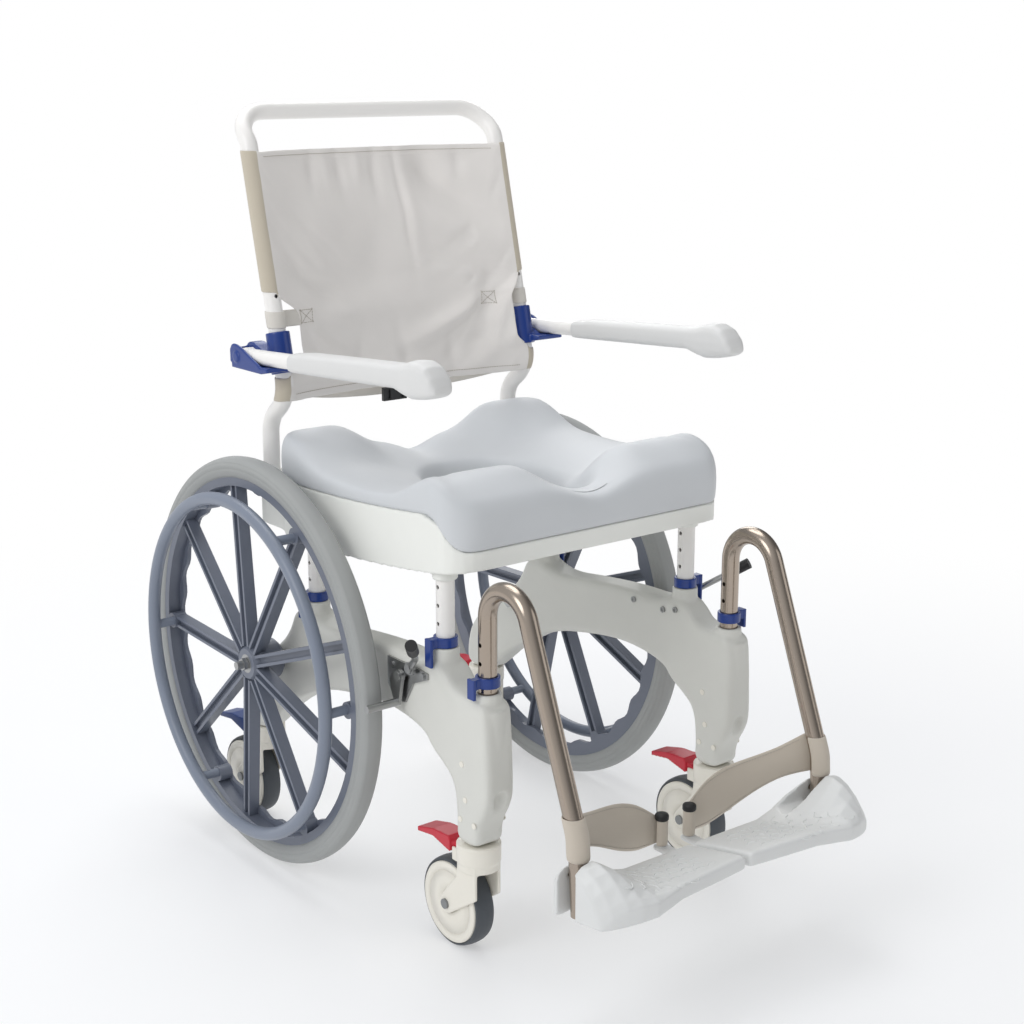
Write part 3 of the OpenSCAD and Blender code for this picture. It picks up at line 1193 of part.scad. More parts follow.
hanger(1);  // hanger_left
hanger_clip(-1);  // hanger_clip_right
hanger_clip(1);  // hanger_clip_left
footplate(-1);  // footplate_right
footplate(1);  // footplate_left
heel_strap(-1);  // heel_strap_right
heel_strap(1);  // heel_strap_left
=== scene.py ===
"""Looks of a self-propelled shower commode chair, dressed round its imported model.

The chair has two moulded side frames, a foam seat, a sling back, flip-up arms, swing-away
leg rests, two spoked main wheels and four castors. Sizes are in millimetres with y counted
from the main wheel axle, and chair_point() turns them into the frame's metres.
"""

from __future__ import annotations

import json
import logging
import math
from dataclasses import dataclass
from enum import Enum
from typing import Any, Callable, Iterable, Sequence

import bmesh
import bpy
from bpy.types import ID, Material, Mesh, MeshPolygon, Node, NodeSocket, NodeTree, Object
from mathutils import Euler, Matrix, Vector
from mathutils.bvhtree import BVHTree


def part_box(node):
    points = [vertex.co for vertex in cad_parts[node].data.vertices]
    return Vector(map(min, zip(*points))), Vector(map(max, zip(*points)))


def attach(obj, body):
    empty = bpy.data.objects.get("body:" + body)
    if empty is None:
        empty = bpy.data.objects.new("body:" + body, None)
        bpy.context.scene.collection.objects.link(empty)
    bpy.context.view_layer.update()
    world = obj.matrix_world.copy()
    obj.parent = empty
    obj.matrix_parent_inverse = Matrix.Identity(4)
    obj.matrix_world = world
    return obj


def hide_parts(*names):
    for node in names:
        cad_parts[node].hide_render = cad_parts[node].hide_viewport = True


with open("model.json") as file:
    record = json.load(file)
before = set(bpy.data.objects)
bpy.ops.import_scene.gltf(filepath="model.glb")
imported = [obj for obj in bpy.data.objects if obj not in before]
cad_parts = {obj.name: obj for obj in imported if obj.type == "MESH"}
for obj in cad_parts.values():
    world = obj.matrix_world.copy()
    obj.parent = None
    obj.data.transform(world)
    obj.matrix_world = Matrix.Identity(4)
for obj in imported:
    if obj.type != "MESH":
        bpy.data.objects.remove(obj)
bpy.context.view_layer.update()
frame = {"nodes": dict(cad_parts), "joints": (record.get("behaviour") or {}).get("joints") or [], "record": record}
LOG = logging.getLogger("commode_chair")
MM = 0.001
WELD_MM = 0.01
# A wave texture of scale 1 repeats after this length.
WAVE_REPEAT = math.pi / 10
BACKWARDS = Vector((0, 1, 0))
# The frame's round plugs sit below this height, and its steel screws above it.
PLUGS_BELOW = 290 * MM
RECORD = frame["record"]
BODY_OF = {node: body for body, nodes in RECORD["behaviour"]["bodies"].items() for node in nodes}
JOINTS = {joint["name"]: joint for joint in frame["joints"]}
AXLE_Y = JOINTS["wheel_spin_left"]["pos_m"][1]


class Side(Enum):
    """A side of the chair, as the sitter names it, and its direction along X."""

    RIGHT = -1
    LEFT = 1

    @property
    def word(self) -> str:
        """The side's name as the nodes spell it."""
        return self.name.lower()


class End(Enum):
    """An end of the chair, as the castors' nodes spell it."""

    FRONT = "front"
    REAR = "rear"


def chair_point(x: float, y: float, z: float) -> Vector:
    """A point of the frame in metres, from millimetres with y counted from the axle."""
    return Vector((x * MM, y * MM + AXLE_Y, z * MM))


def mix(a: Any, b: Any, share: float) -> Any:
    """The value at a share of the way from a to b."""
    return a + (b - a) * share


def smooth(share: float) -> float:
    """An S curve from 0 to 1."""
    t = min(1.0, max(0.0, share))
    return t * t * (3 - 2 * t)


def hump(distance: float) -> float:
    """A round hump of height 1 about zero."""
    return math.exp(-distance * distance)


def plateau(distance: float) -> float:
    """A flat-topped hump of height 1 about zero."""
    return math.exp(-(distance**4))


def linear(hex_code: str) -> tuple[float, float, float, float]:
    """Turns an sRGB hex value into linear colour with full alpha.

    Args:
        hex_code: A value such as "#c5283a".

    Returns:
        Red, green, blue and alpha for a colour socket.
    """
    shares = [int(hex_code[i : i + 2], 16) / 255 for i in (1, 3, 5)]
    red, green, blue = [s / 12.92 if s <= 0.04045 else ((s + 0.055) / 1.055) ** 2.4 for s in shares]
    return red, green, blue, 1.0


def add_node(tree: NodeTree, kind: str, sockets: dict | None = None, **settings: Any) -> Node:
    """Adds a node with its settings and links.

    Args:
        tree: The tree to add it to.
        kind: The node's type.
        sockets: Input name or index, with a value or an output socket to link.
        settings: Properties of the node, set before its sockets.

    Returns:
        The new node.
    """
    node = tree.nodes.new(kind)
    for name, value in settings.items():
        setattr(node, name, value)
    for key, value in (sockets or {}).items():
        if isinstance(value, NodeSocket):
            tree.links.new(value, node.inputs[key])
        else:
            node.inputs[key].default_value = value
    return node


def soft_ramp(
    tree: NodeTree, value: NodeSocket, source: tuple[float, float], result: tuple[float, float]
) -> NodeSocket:
    """Maps a value from one range to another along an S curve."""
    spread = {
        "Value": value, "From Min": source[0], "From Max": source[1], "To Min": result[0], "To Max": result[1]
    }
    return add_node(tree, "ShaderNodeMapRange", spread, interpolation_type="SMOOTHSTEP").outputs[0]


@dataclass(frozen=True)
class Finish:
    """A surface: what it is made of, and how that surface was made.

    The grain is a fine relief of the given size and depth, and the mottle a slow change of
    colour. Both read Object coordinates, so they stay with the piece.
    """

    name: str
    colour: str
    roughness: float
    metallic: float = 0.0
    grain_mm: float = 1.2
    grain_depth_mm: float = 0.02
    mottle: float = 0.03
    mottle_mm: float = 45.0
    sheen: float = 0.0
    coat: float = 0.0

    def place(self, tree: NodeTree) -> NodeSocket:
        """The coordinates that the patterns read."""
        return add_node(tree, "ShaderNodeTexCoord").outputs["Object"]

    def relief(self, tree: NodeTree, place: NodeSocket) -> NodeSocket:
        """The height of the grain, from 0 to 1."""
        return add_node(
            tree, "ShaderNodeTexNoise", {"Vector": place, "Scale": 1 / (self.grain_mm * MM), "Detail": 3.0}
        ).outputs[0]

    def material(self) -> Material:
        """Builds the material once, and gives the same one after that.

        Returns:
            The material, named for the finish.
        """
        made = bpy.data.materials.get(self.name)
        if made:
            return made
        made = bpy.data.materials.new(self.name)
        made.use_nodes = True
        tree = made.node_tree
        shader = tree.nodes["Principled BSDF"]
        place = self.place(tree)
        slow = add_node(
            tree, "ShaderNodeTexNoise", {"Vector": place, "Scale": 1 / (self.mottle_mm * MM), "Detail": 4.0}
        )
        low = [c * (1 - self.mottle) for c in linear(self.colour)[:3]] + [1.0]
        high = [min(1.0, c * (1 + self.mottle)) for c in linear(self.colour)[:3]] + [1.0]
        tint = add_node(
            tree, "ShaderNodeMix", {"Factor": slow.outputs[0], "A": low, "B": high},
            data_type="RGBA", blend_type="MIX",
        )
        tree.links.new(tint.outputs["Result"], shader.inputs["Base Color"])
        relief = self.relief(tree, place)
        spread = add_node(
            tree,
            "ShaderNodeMapRange",
            {"Value": relief, "To Min": self.roughness * 0.88, "To Max": min(1.0, self.roughness * 1.12)},
        )
        tree.links.new(spread.outputs[0], shader.inputs["Roughness"])
        bump = add_node(
            tree, "ShaderNodeBump", {"Height": relief, "Strength": 1.0, "Distance": self.grain_depth_mm * MM}
        )
        tree.links.new(bump.outputs[0], shader.inputs["Normal"])
        shader.inputs["Metallic"].default_value = self.metallic
        shader.inputs["Sheen Weight"].default_value = self.sheen
        shader.inputs["Coat Weight"].default_value = self.coat
        return made


@dataclass(frozen=True)
class Woven(Finish):
    """Woven cloth, with threads that follow the piece's own UV map, which is in metres."""

    thread_mm: float = 1.4

    def place(self, tree: NodeTree) -> NodeSocket:
        """The coordinates that the patterns read."""
        return add_node(tree, "ShaderNodeTexCoord").outputs["UV"]

    def relief(self, tree: NodeTree, place: NodeSocket) -> NodeSocket:
        """The height of crossing threads, roughened by a little noise."""
        bands_per_metre = WAVE_REPEAT / (self.thread_mm * MM)
        bands = {"Vector": place, "Scale": bands_per_metre}
        warp, weft = (add_node(tree, "ShaderNodeTexWave", bands, bands_direction=way) for way in "XY")
        crossed = {0: warp.outputs[1], 1: weft.outputs[1]}
        crossing = add_node(tree, "ShaderNodeMath", crossed, operation="MULTIPLY")
        slub = add_node(tree, "ShaderNodeTexNoise", {"Vector": place, "Scale": 1 / (3 * self.thread_mm * MM)})
        return add_node(
            tree, "ShaderNodeMath", {0: crossing.outputs[0], 1: slub.outputs[0]}, operation="ADD"
        ).outputs[0]


# Rotomoulded polyethylene takes a fibrous, matt skin from the mould.
FRAME_PLASTIC = Finish(
    "rotomoulded_polyethylene", "#d5d5cf", 0.46, grain_mm=1.6, grain_depth_mm=0.05, mottle=0.035
)
# Injection moulded nylon of the castors comes out creamy and satin.
CASTOR_PLASTIC = Finish("moulded_nylon", "#e9e5da", 0.34, grain_mm=0.8, grain_depth_mm=0.01, coat=0.1)
# Glass filled nylon of the wheels shows a faint streaky flow.
WHEEL_PLASTIC = Finish("glass_filled_nylon", "#6a707e", 0.36, grain_mm=0.9, grain_depth_mm=0.015, mottle=0.06)
HANDRIM_PLASTIC = Finish("moulded_handrim", "#7c8493", 0.33, grain_mm=0.9, grain_depth_mm=0.01, mottle=0.05)
# Solid polyurethane tyres are dull, with a dusty skin.
TYRE = Finish("polyurethane_tyre", "#9fa1a0", 0.62, grain_mm=0.7, grain_depth_mm=0.04, mottle=0.05)
CASTOR_TYRE = Finish("castor_rubber", "#474c52", 0.5, grain_mm=0.7, grain_depth_mm=0.03, mottle=0.08)
PEDAL_RED = Finish("red_polyamide", "#c5283a", 0.36, grain_mm=0.8, grain_depth_mm=0.012)
PEDAL_BLUE = Finish("dark_blue_polyamide", "#27407a", 0.36, grain_mm=0.8, grain_depth_mm=0.012)
CLIP_BLUE = Finish("blue_polyamide", "#0d3481", 0.3, grain_mm=0.8, grain_depth_mm=0.01, coat=0.1)
TRAY_PLASTIC = Finish("moulded_abs", "#e9eae5", 0.35, grain_mm=1.0, grain_depth_mm=0.01)
# Integral skin foam is closed and faintly pebbled, as soft as leather to the eye.
PAD_FOAM = Finish(
    "integral_skin_foam", "#cccfd2", 0.52, grain_mm=1.5, grain_depth_mm=0.05, mottle=0.025, sheen=0.15
)
ARM_FOAM = Finish("arm_skin_foam", "#d6d6d5", 0.5, grain_mm=1.4, grain_depth_mm=0.04, mottle=0.02, sheen=0.1)
# Powder coat levels to a slight orange peel.
POWDER_COAT = Finish(
    "white_powder_coat", "#eeece9", 0.33, grain_mm=2.2, grain_depth_mm=0.015, mottle=0.01, coat=0.15
)
STAINLESS_TUBE = Finish(
    "brushed_stainless", "#a89c90", 0.22, metallic=1.0, grain_mm=0.8, grain_depth_mm=0.0008, mottle=0.015
)
STAINLESS_FITTING = Finish(
    "stainless_fitting", "#a7a8a8", 0.3, metallic=1.0, grain_mm=0.5, grain_depth_mm=0.005
)
CASTOR_BOLT = Finish("zinc_cap", "#8d8f90", 0.4, metallic=0.7, grain_mm=0.6, grain_depth_mm=0.008)
GRIP_RUBBER = Finish("black_grip", "#17181a", 0.5, grain_mm=0.7, grain_depth_mm=0.03)
BUCKLE = Finish("black_acetal", "#1c1d1f", 0.38, grain_mm=0.7, grain_depth_mm=0.01)
FOOT_PLASTIC = Finish("footplate_moulding", "#dcdddc", 0.4, grain_mm=1.2, grain_depth_mm=0.02)
# Real threads are 0.5 mm apart; they are drawn three times as coarse so that they show.
SLING = Woven("sling_polyester", "#e6e2de", 0.72, grain_depth_mm=0.12, mottle=0.03, sheen=0.25, thread_mm=1.5)
SLEEVE_CLOTH = Woven("sleeve_polyester", "#c2b9a8", 0.72, grain_depth_mm=0.12, sheen=0.25, thread_mm=1.5)
WEBBING = Woven("strap_webbing", "#a9a296", 0.75, grain_depth_mm=0.2, sheen=0.2, thread_mm=1.8)
HEEL_CLOTH = Woven("heel_strap_cloth", "#c6bcae", 0.7, grain_depth_mm=0.12, sheen=0.2, thread_mm=1.5)
THREAD = Finish("sewing_thread", "#b4ada3", 0.7, grain_mm=0.5, grain_depth_mm=0.02)


# How the sling's polyester moves in the simulation: tightly woven, so stiff along its threads.
POLYESTER_CLOTH = {
    "quality": 6, "mass": 0.25, "tension_stiffness": 40, "compression_stiffness": 25, "shear_stiffness": 20,
    "bending_stiffness": 1.5, "air_damping": 4,
}


def dress(node: str, finish: Finish) -> Object:
    """Gives a CAD node its finish and leaves its shape alone."""
    shown = frame["nodes"][node]
    shown.data.materials.clear()
    shown.data.materials.append(finish.material())
    LOG.info("dressed %s in %s", node, finish.name)
    return shown


def placed(name: str, data: ID) -> Object:
    """A new object in the scene that holds the given data."""
    made = bpy.data.objects.new(name, data)
    bpy.context.scene.collection.objects.link(made)
    return made


def hang(name: str, mesh: Mesh, finish: Finish, node: str, stands_in: bool = True) -> Object:
    """Makes a mesh a piece of the chair.

    Args:
        name: The piece's name.
        mesh: Its mesh, in the frame's metres.
        finish: Its finish.
        node: The CAD node whose body it rides on.
        stands_in: Whether it replaces that node.

    Returns:
        The new object.
    """
    mesh.materials.clear()
    mesh.materials.append(finish.material())
    mesh.polygons.foreach_set("use_smooth", [True] * len(mesh.polygons))
    piece = placed(name, mesh)
    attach(piece, BODY_OF[node])
    if stands_in:
        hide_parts(node)
    LOG.info("built %s with %d faces on %s", name, len(mesh.polygons), BODY_OF[node])
    return piece


def baked(holder: Object) -> Mesh:
    """Turns an object's evaluated result into a plain mesh and removes the object.

    Args:
        holder: The object with its modifiers.

    Returns:
        The mesh with every modifier applied.
    """
    depsgraph = bpy.context.evaluated_depsgraph_get()
    mesh = bpy.data.meshes.new_from_object(holder.evaluated_get(depsgraph))
    bpy.data.objects.remove(holder)
    return mesh


def scratch(mesh: Mesh) -> Object:
    """A passing object that holds a mesh while modifiers work on it."""
    return placed("scratch", mesh)


def merged_copy(node: str) -> Mesh:
    """A copy of a CAD node's mesh with its loose triangles joined."""
    mesh = frame["nodes"][node].data.copy()
    work = bmesh.new()
    work.from_mesh(mesh)
    bmesh.ops.remove_doubles(work, verts=work.verts, dist=WELD_MM * MM)
    work.to_mesh(mesh)
    work.free()
    return mesh


def moulded(node: str, finish: Finish, voxel_mm: float, rounds: int, name: str | None = None) -> Object:
    """Replaces a CAD node by a smoothly rounded copy, as a moulding comes out of its tool.

    Args:
        node: The CAD node.
        finish: The moulding's finish.
        voxel_mm: Edge of the voxels that the copy is rebuilt from.
        rounds: How often the rebuilt surface is smoothed.
        name: The piece's name, or none for the node's with a suffix.

    Returns:
        The new object.
    """
    holder = scratch(merged_copy(node))
    remesh = holder.modifiers.new("rebuild", "REMESH")
    remesh.mode = "VOXEL"
    remesh.voxel_size = voxel_mm * MM
    relax = holder.modifiers.new("relax", "SMOOTH")
    relax.factor = 0.5
    relax.iterations = rounds
    return hang(name or f"{node}_moulding", baked(holder), finish, node)


def lofted(
    name: str, rings: Sequence[Sequence[Vector]], closed: bool = True, capped: bool = False
) -> Mesh:
    """Skins a row of rings, with a UV map in metres along and round them.

    Args:
        name: The mesh's name.
        rings: Rings of as many points each, in the frame's metres.
        closed: Whether each ring closes on itself.
        capped: Whether the first and last ring are filled.

    Returns:
        The mesh, with its faces turned outwards.
    """
    work = bmesh.new()
    uv = work.loops.layers.uv.new("UVMap")
    rows = [[work.verts.new(p) for p in ring] for ring in rings]
    count = len(rings[0])
    steps = count if closed else count - 1
    middle = rings[len(rings) // 2]
    around = [0.0]
    for i in range(steps):
        around.append(around[-1] + (Vector(middle[(i + 1) % count]) - Vector(middle[i])).length)
    along = [0.0]
    for low, high in zip(rings, rings[1:]):
        gaps = [(Vector(b) - Vector(a)).length for a, b in zip(low, high)]
        along.append(along[-1] + sum(gaps) / len(gaps))
    for k in range(len(rows) - 1):
        for i in range(steps):
            j = (i + 1) % count
            face = work.faces.new((rows[k][i], rows[k][j], rows[k + 1][j], rows[k + 1][i]))
            corners = ((i, k), (i + 1, k), (i + 1, k + 1), (i, k + 1))
            for loop, (a, b) in zip(face.loops, corners):
                loop[uv].uv = (around[a], along[b])
    if capped:
        for row in (rows[0], rows[-1]):
            bmesh.ops.triangulate(work, faces=[work.faces.new(row)])
    bmesh.ops.recalc_face_normals(work, faces=work.faces)
    mesh = bpy.data.meshes.new(name)
    work.to_mesh(mesh)
    work.free()
    return mesh


def subdivided(holder: Object) -> Mesh:
    """Rounds a passing object's mesh by one subdivision and bakes it."""
    round_off = holder.modifiers.new("round", "SUBSURF")
    round_off.levels = round_off.render_levels = 1
    return baked(holder)


def thickened(mesh: Mesh, thickness_mm: float) -> Mesh:
    """Gives an open surface its cloth's thickness, centred, and rounds it.

    Args:
        mesh: The open surface.
        thickness_mm: The cloth's thickness.

    Returns:
        The closed mesh.
    """
    holder = scratch(mesh)
    wall = holder.modifiers.new("wall", "SOLIDIFY")
    wall.thickness = thickness_mm * MM
    wall.offset = 0.0
    return subdivided(holder)


def circle(sides: int) -> list[tuple[float, float]]:
    """The cosine and sine of directions spread evenly round a circle."""
    return [(math.cos(math.tau * k / sides), math.sin(math.tau * k / sides)) for k in range(sides)]


def thread_along(path: Sequence[Vector], radius_mm: float, sides: int = 6) -> Mesh:
    """A capped round bar that follows a path, in the frame's metres."""
    rings = []
    across = (path[1] - path[0]).normalized().orthogonal()
    for i, point in enumerate(path):
        ahead = (path[min(i + 1, len(path) - 1)] - path[max(i - 1, 0)]).normalized()
        across = (across - across.dot(ahead) * ahead).normalized()
        up = ahead.cross(across)
        rings.append([point + radius_mm * MM * (c * across + s * up) for c, s in circle(sides)])
    return lofted("tube", rings, capped=True)


def lathed(outline: Sequence[tuple[float, float]], place: Matrix, sides: int = 32) -> Mesh:
    """Turns an outline of (height, radius) pairs in millimetres about the Z axis of a place.

    Args:
        outline: The pairs, from one end to the other.
        place: Where the turned piece stands, in metres.
        sides: Faces round it.

    Returns:
        The closed mesh.
    """
    rings = [[place @ (Vector((r * c, r * s, h)) * MM) for c, s in circle(sides)] for h, r in outline]
    return lofted("turned", rings, capped=True)


def welded(mesh: Mesh) -> Mesh:
    """Joins points that lie on one another and turns the faces outwards."""
    work = bmesh.new()
    work.from_mesh(mesh)
    bmesh.ops.remove_doubles(work, verts=work.verts, dist=WELD_MM * MM)
    bmesh.ops.recalc_face_normals(work, faces=work.faces)
    work.to_mesh(mesh)
    work.free()
    return mesh


def wheel_ring(node: str, half: Sequence[tuple[float, float]], sides: int) -> Mesh:
    """Turns a section about the axis of a CAD wheel, and welds it to a closed ring.

    Args:
        node: The CAD node that the ring stands in for, which gives its middle.
        half: Half of the section, as (across, radius) pairs in millimetres. The other half mirrors it.
        sides: Faces round the ring.

    Returns:
        The closed mesh.
    """
    low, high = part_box(node)
    place = Matrix.Translation((low + high) / 2) @ Matrix.Rotation(math.pi / 2, 4, "Y")
    section = [*half, *((-across, radius) for across, radius in reversed(half))]
    rings = [[place @ (Vector((r * c, r * s, h)) * MM) for h, r in section] for c, s in circle(sides)]
    return welded(lofted("ring", [*rings, rings[0]]))


def repaint(piece: Object, finish: Finish, chosen: Callable[[MeshPolygon], bool]) -> None:
    """Gives a second finish to the faces of a piece that are chosen."""
    piece.data.materials.append(finish.material())
    last = len(piece.data.materials) - 1
    for face in piece.data.polygons:
        if chosen(face):
            face.material_index = last


def joined(meshes: Iterable[Mesh]) -> Mesh:
    """Several meshes as one."""
    work = bmesh.new()
    for mesh in meshes:
        work.from_mesh(mesh)
    whole = bpy.data.meshes.new("joined")
    work.to_mesh(whole)
    work.free()
    return whole


class Repeat:
    """Geometry Nodes that set one small shape on many points, turned as each point says."""

    TREE = "repeat_on_points"

    @classmethod
    def tree(cls) -> NodeTree:
        """Builds the tree once: points with a turn attribute, a unit shape and a material."""
        made = bpy.data.node_groups.get(cls.TREE)
        if made:
            return made
        made = bpy.data.node_groups.new(cls.TREE, "GeometryNodeTree")
        for name, kind, way in (
            ("Points", "NodeSocketGeometry", "INPUT"),
            ("Unit", "NodeSocketObject", "INPUT"),
            ("Finish", "NodeSocketMaterial", "INPUT"),
            ("Pieces", "NodeSocketGeometry", "OUTPUT"),
        ):
            made.interface.new_socket(name, in_out=way, socket_type=kind)
        given = add_node(made, "NodeGroupInput").outputs
        unit = add_node(made, "GeometryNodeObjectInfo", {"Object": given["Unit"]})
        turn = add_node(made, "GeometryNodeInputNamedAttribute", {"Name": "turn"}, data_type="FLOAT_VECTOR")
        euler = add_node(made, "FunctionNodeEulerToRotation", {0: turn.outputs[0]})
        points = add_node(made, "GeometryNodeMeshToPoints", {"Mesh": given["Points"]})
        shape = unit.outputs["Geometry"]
        copied = {"Points": points.outputs[0], "Instance": shape, "Rotation": euler.outputs[0]}
        copies = add_node(made, "GeometryNodeInstanceOnPoints", copied)
        real = add_node(made, "GeometryNodeRealizeInstances", {0: copies.outputs[0]})
        paint = {"Geometry": real.outputs[0], "Material": given["Finish"]}
        painted = add_node(made, "GeometryNodeSetMaterial", paint)
        add_node(made, "NodeGroupOutput", {0: painted.outputs[0]})
        return made

    @classmethod
    def on(cls, places: Sequence[Matrix], unit: Mesh, finish: Finish) -> Mesh:
        """Sets the unit shape on every place.

        Args:
            places: Where each one stands and how it is turned, in metres.
            unit: The shape, about its own origin.
            finish: Its finish.

        Returns:
            One plain mesh that holds them all.
        """
        cloud = bpy.data.meshes.new("points")
        cloud.from_pydata([place.translation for place in places], [], [])
        turns = cloud.attributes.new("turn", "FLOAT_VECTOR", "POINT")
        turns.data.foreach_set("vector", [a for place in places for a in place.to_euler()])
        shape = scratch(unit)
        holder = scratch(cloud)
        nodes = holder.modifiers.new("repeat", "NODES")
        tree = cls.tree()
        nodes.node_group = tree
        values = {"Unit": shape, "Finish": finish.material()}
        for item in tree.interface.items_tree:
            if item.in_out == "INPUT" and item.name in values:
                nodes[item.identifier] = values[item.name]
        mesh = baked(holder)
        bpy.data.objects.remove(shape)
        return mesh


def stitch_places(path: Sequence[Vector], outward: Vector, pitch_mm: float = 4.2) -> list[Matrix]:
    """Places along a path for stitches that lie along it.

    Args:
        path: The seam's points.
        outward: The direction in which the cloth's surface faces.
        pitch_mm: The distance from one stitch to the next.

    Returns:
        One place for each stitch, with X along the seam and Z outwards.
    """
    places = []
    spare = 0.0
    for a, b in zip(path, path[1:]):
        length = (b - a).length
        along = (b - a).normalized()
        up = (outward - outward.dot(along) * along).normalized()
        at = spare
        while at < length:
            places.append(Matrix((along, up.cross(along), up)).transposed().to_4x4())
            places[-1].translation = a + along * at
            at += pitch_mm * MM
        spare = at - length
    return places


def stitch_shape(length_mm: float = 3.2, radius_mm: float = 0.45) -> Mesh:
    """One stitch: a short thread that dips at both ends."""
    shares = (-0.5, -0.3, 0.0, 0.3, 0.5)
    path = [Vector((s * length_mm, 0, radius_mm * (1 - 4 * s * s))) * MM for s in shares]
    return thread_along(path, radius_mm)


def sew(name: str, places: Sequence[Matrix], node: str) -> None:
    """Sets stitches on their places, on the body of a cloth's node."""
    hang(name, Repeat.on(places, stitch_shape(), THREAD), THREAD, node, stands_in=False)


def settle(
    mesh: Mesh, pinned: Callable[[Vector], bool], slack: float, frames: int, cap_mm: float
) -> Mesh:
    """Lets a stretched cloth find its folds, and caps how far a point may move.

    Args:
        mesh: The cloth's open surface, as cut and hung.
        pinned: Says whether a point is sewn down.
        slack: The share by which the cloth is longer than its span.
        frames: Steps of simulation.
        cap_mm: The most that a point may move.
    """
    start = [v.co.copy() for v in mesh.vertices]
    holder = scratch(mesh)
    pins = holder.vertex_groups.new(name="pins")
    pins.add([v.index for v in mesh.vertices if pinned(v.co)], 1.0, "REPLACE")
    cloth = holder.modifiers.new("cloth", "CLOTH")
    for name, value in POLYESTER_CLOTH.items():
        setattr(cloth.settings, name, value)
    cloth.settings.vertex_group_mass = "pins"
    cloth.settings.shrink_min = -slack
    cloth.collision_settings.use_collision = False
    cloth.point_cache.frame_start = 1
    cloth.point_cache.frame_end = frames
    scene = bpy.context.scene
    for step in range(1, frames + 1):
        scene.frame_set(step)
    settled = baked(holder)
    scene.frame_set(1)
    for vertex, first in zip(settled.vertices, start):
        moved = vertex.co - first
        if moved.length > cap_mm * MM:
            vertex.co = first + moved.normalized() * cap_mm * MM
    return settled


@dataclass(frozen=True)
class SideFrame:
    """One moulded side frame."""

    side: Side

    def build(self) -> None:
        """Rounds the moulding as its mould leaves it."""
        moulded(f"side_frame_{self.side.word}", FRAME_PLASTIC, voxel_mm=2.4, rounds=4)


@dataclass(frozen=True)
class MainWheel:
    """A main wheel: rim, tyre, handrim on its posts, and bearings."""

    side: Side
    tyre_height: float = 30.0
    facets: int = 128
    # Shares of the tyre's height and width, from its foot to its crown
    section: tuple = (
        (0, 0.36), (0.12, 0.42), (0.3, 0.47), (0.42, 0.49), (0.45, 0.472), (0.48, 0.494), (0.6, 0.498),
        (0.7, 0.48), (0.725, 0.455), (0.75, 0.462), (0.84, 0.41), (0.87, 0.378), (0.895, 0.37), (0.95, 0.26),
        (0.955, 0.225), (0.98, 0.16), (1, 0.06),
    )

    def tyre(self) -> Mesh:
        """The tyre, turned from its section, with a shallow line on each wall."""
        node = f"wheel_tyre_{self.side.word}"
        low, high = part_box(node)
        foot = (high.z - low.z) / 2 / MM - self.tyre_height
        width = (high.x - low.x) / MM
        half = [(share_w * width, foot + share_h * self.tyre_height) for share_h, share_w in self.section]
        return wheel_ring(node, half, self.facets)

    def build(self) -> None:
        """Turns the tyre and dresses the rest."""
        word = self.side.word
        dress(f"wheel_rim_{word}", WHEEL_PLASTIC)
        hang(f"wheel_tyre_{word}_turned", self.tyre(), TYRE, f"wheel_tyre_{word}")
        dress(f"handrim_{word}", HANDRIM_PLASTIC)
        dress(f"hub_bearings_{word}", STAINLESS_FITTING)


@dataclass(frozen=True)
class Castor:
    """A castor: fork, wheel, tyre, axle bolt and pedal."""

    end: End
    side: Side
    bore_r: float = 6.4
    groove_foot: float = 13.0
    groove_top: float = 11.2
    groove_slant: float = 0.4
    bevel: float = 1.2
    facets: int = 72
    # A pedal's faces that look down more steeply than this have the fork's colour
    underside: float = -0.3

    def disc(self, node: str) -> Mesh:
        """The wheel's core, with a groove round its face."""
        low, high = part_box(node)
        half = (high.x - low.x) / 2 / MM
        rim = (high.z - low.z) / 2 / MM
        sunk, foot, top = half - self.bevel, rim - self.groove_foot, rim - self.groove_top
        face = [(half, self.bore_r), (half, foot), (sunk, foot + self.groove_slant),
                (sunk, top - self.groove_slant), (half, top), (half, rim - self.bevel), (sunk, rim)]
        return wheel_ring(node, face, self.facets)

    def build(self) -> None:
        """Rounds the mouldings, turns the core and dresses the rest."""
        tail = f"{self.end.value}_{self.side.word}"
        locks_direction = self.end is End.REAR and self.side is Side.RIGHT
        moulded(f"castor_fork_{tail}", CASTOR_PLASTIC, voxel_mm=1.4, rounds=6)
        colour = PEDAL_BLUE if locks_direction else PEDAL_RED
        pedal = moulded(f"castor_pedal_{tail}", colour, voxel_mm=1.2, rounds=5)
        repaint(pedal, CASTOR_PLASTIC, lambda face: face.normal.z < self.underside)
        wheel = f"castor_wheel_{tail}"
        hang(f"castor_core_{tail}", self.disc(wheel), CASTOR_PLASTIC, wheel)
        dress(f"castor_tyre_{tail}", CASTOR_TYRE)
        dress(f"castor_axle_{tail}", CASTOR_BOLT)


@dataclass(frozen=True)
class TyreBrake:
    """A tyre brake: lever with its grip, and the bar that presses on the tyre."""

    side: Side

    def build(self) -> None:
        """Dresses the brake's pieces."""
        dress(f"brake_lever_{self.side.word}", STAINLESS_FITTING)
        dress(f"brake_bar_{self.side.word}", STAINLESS_FITTING)
        dress(f"brake_grip_{self.side.word}", GRIP_RUBBER)


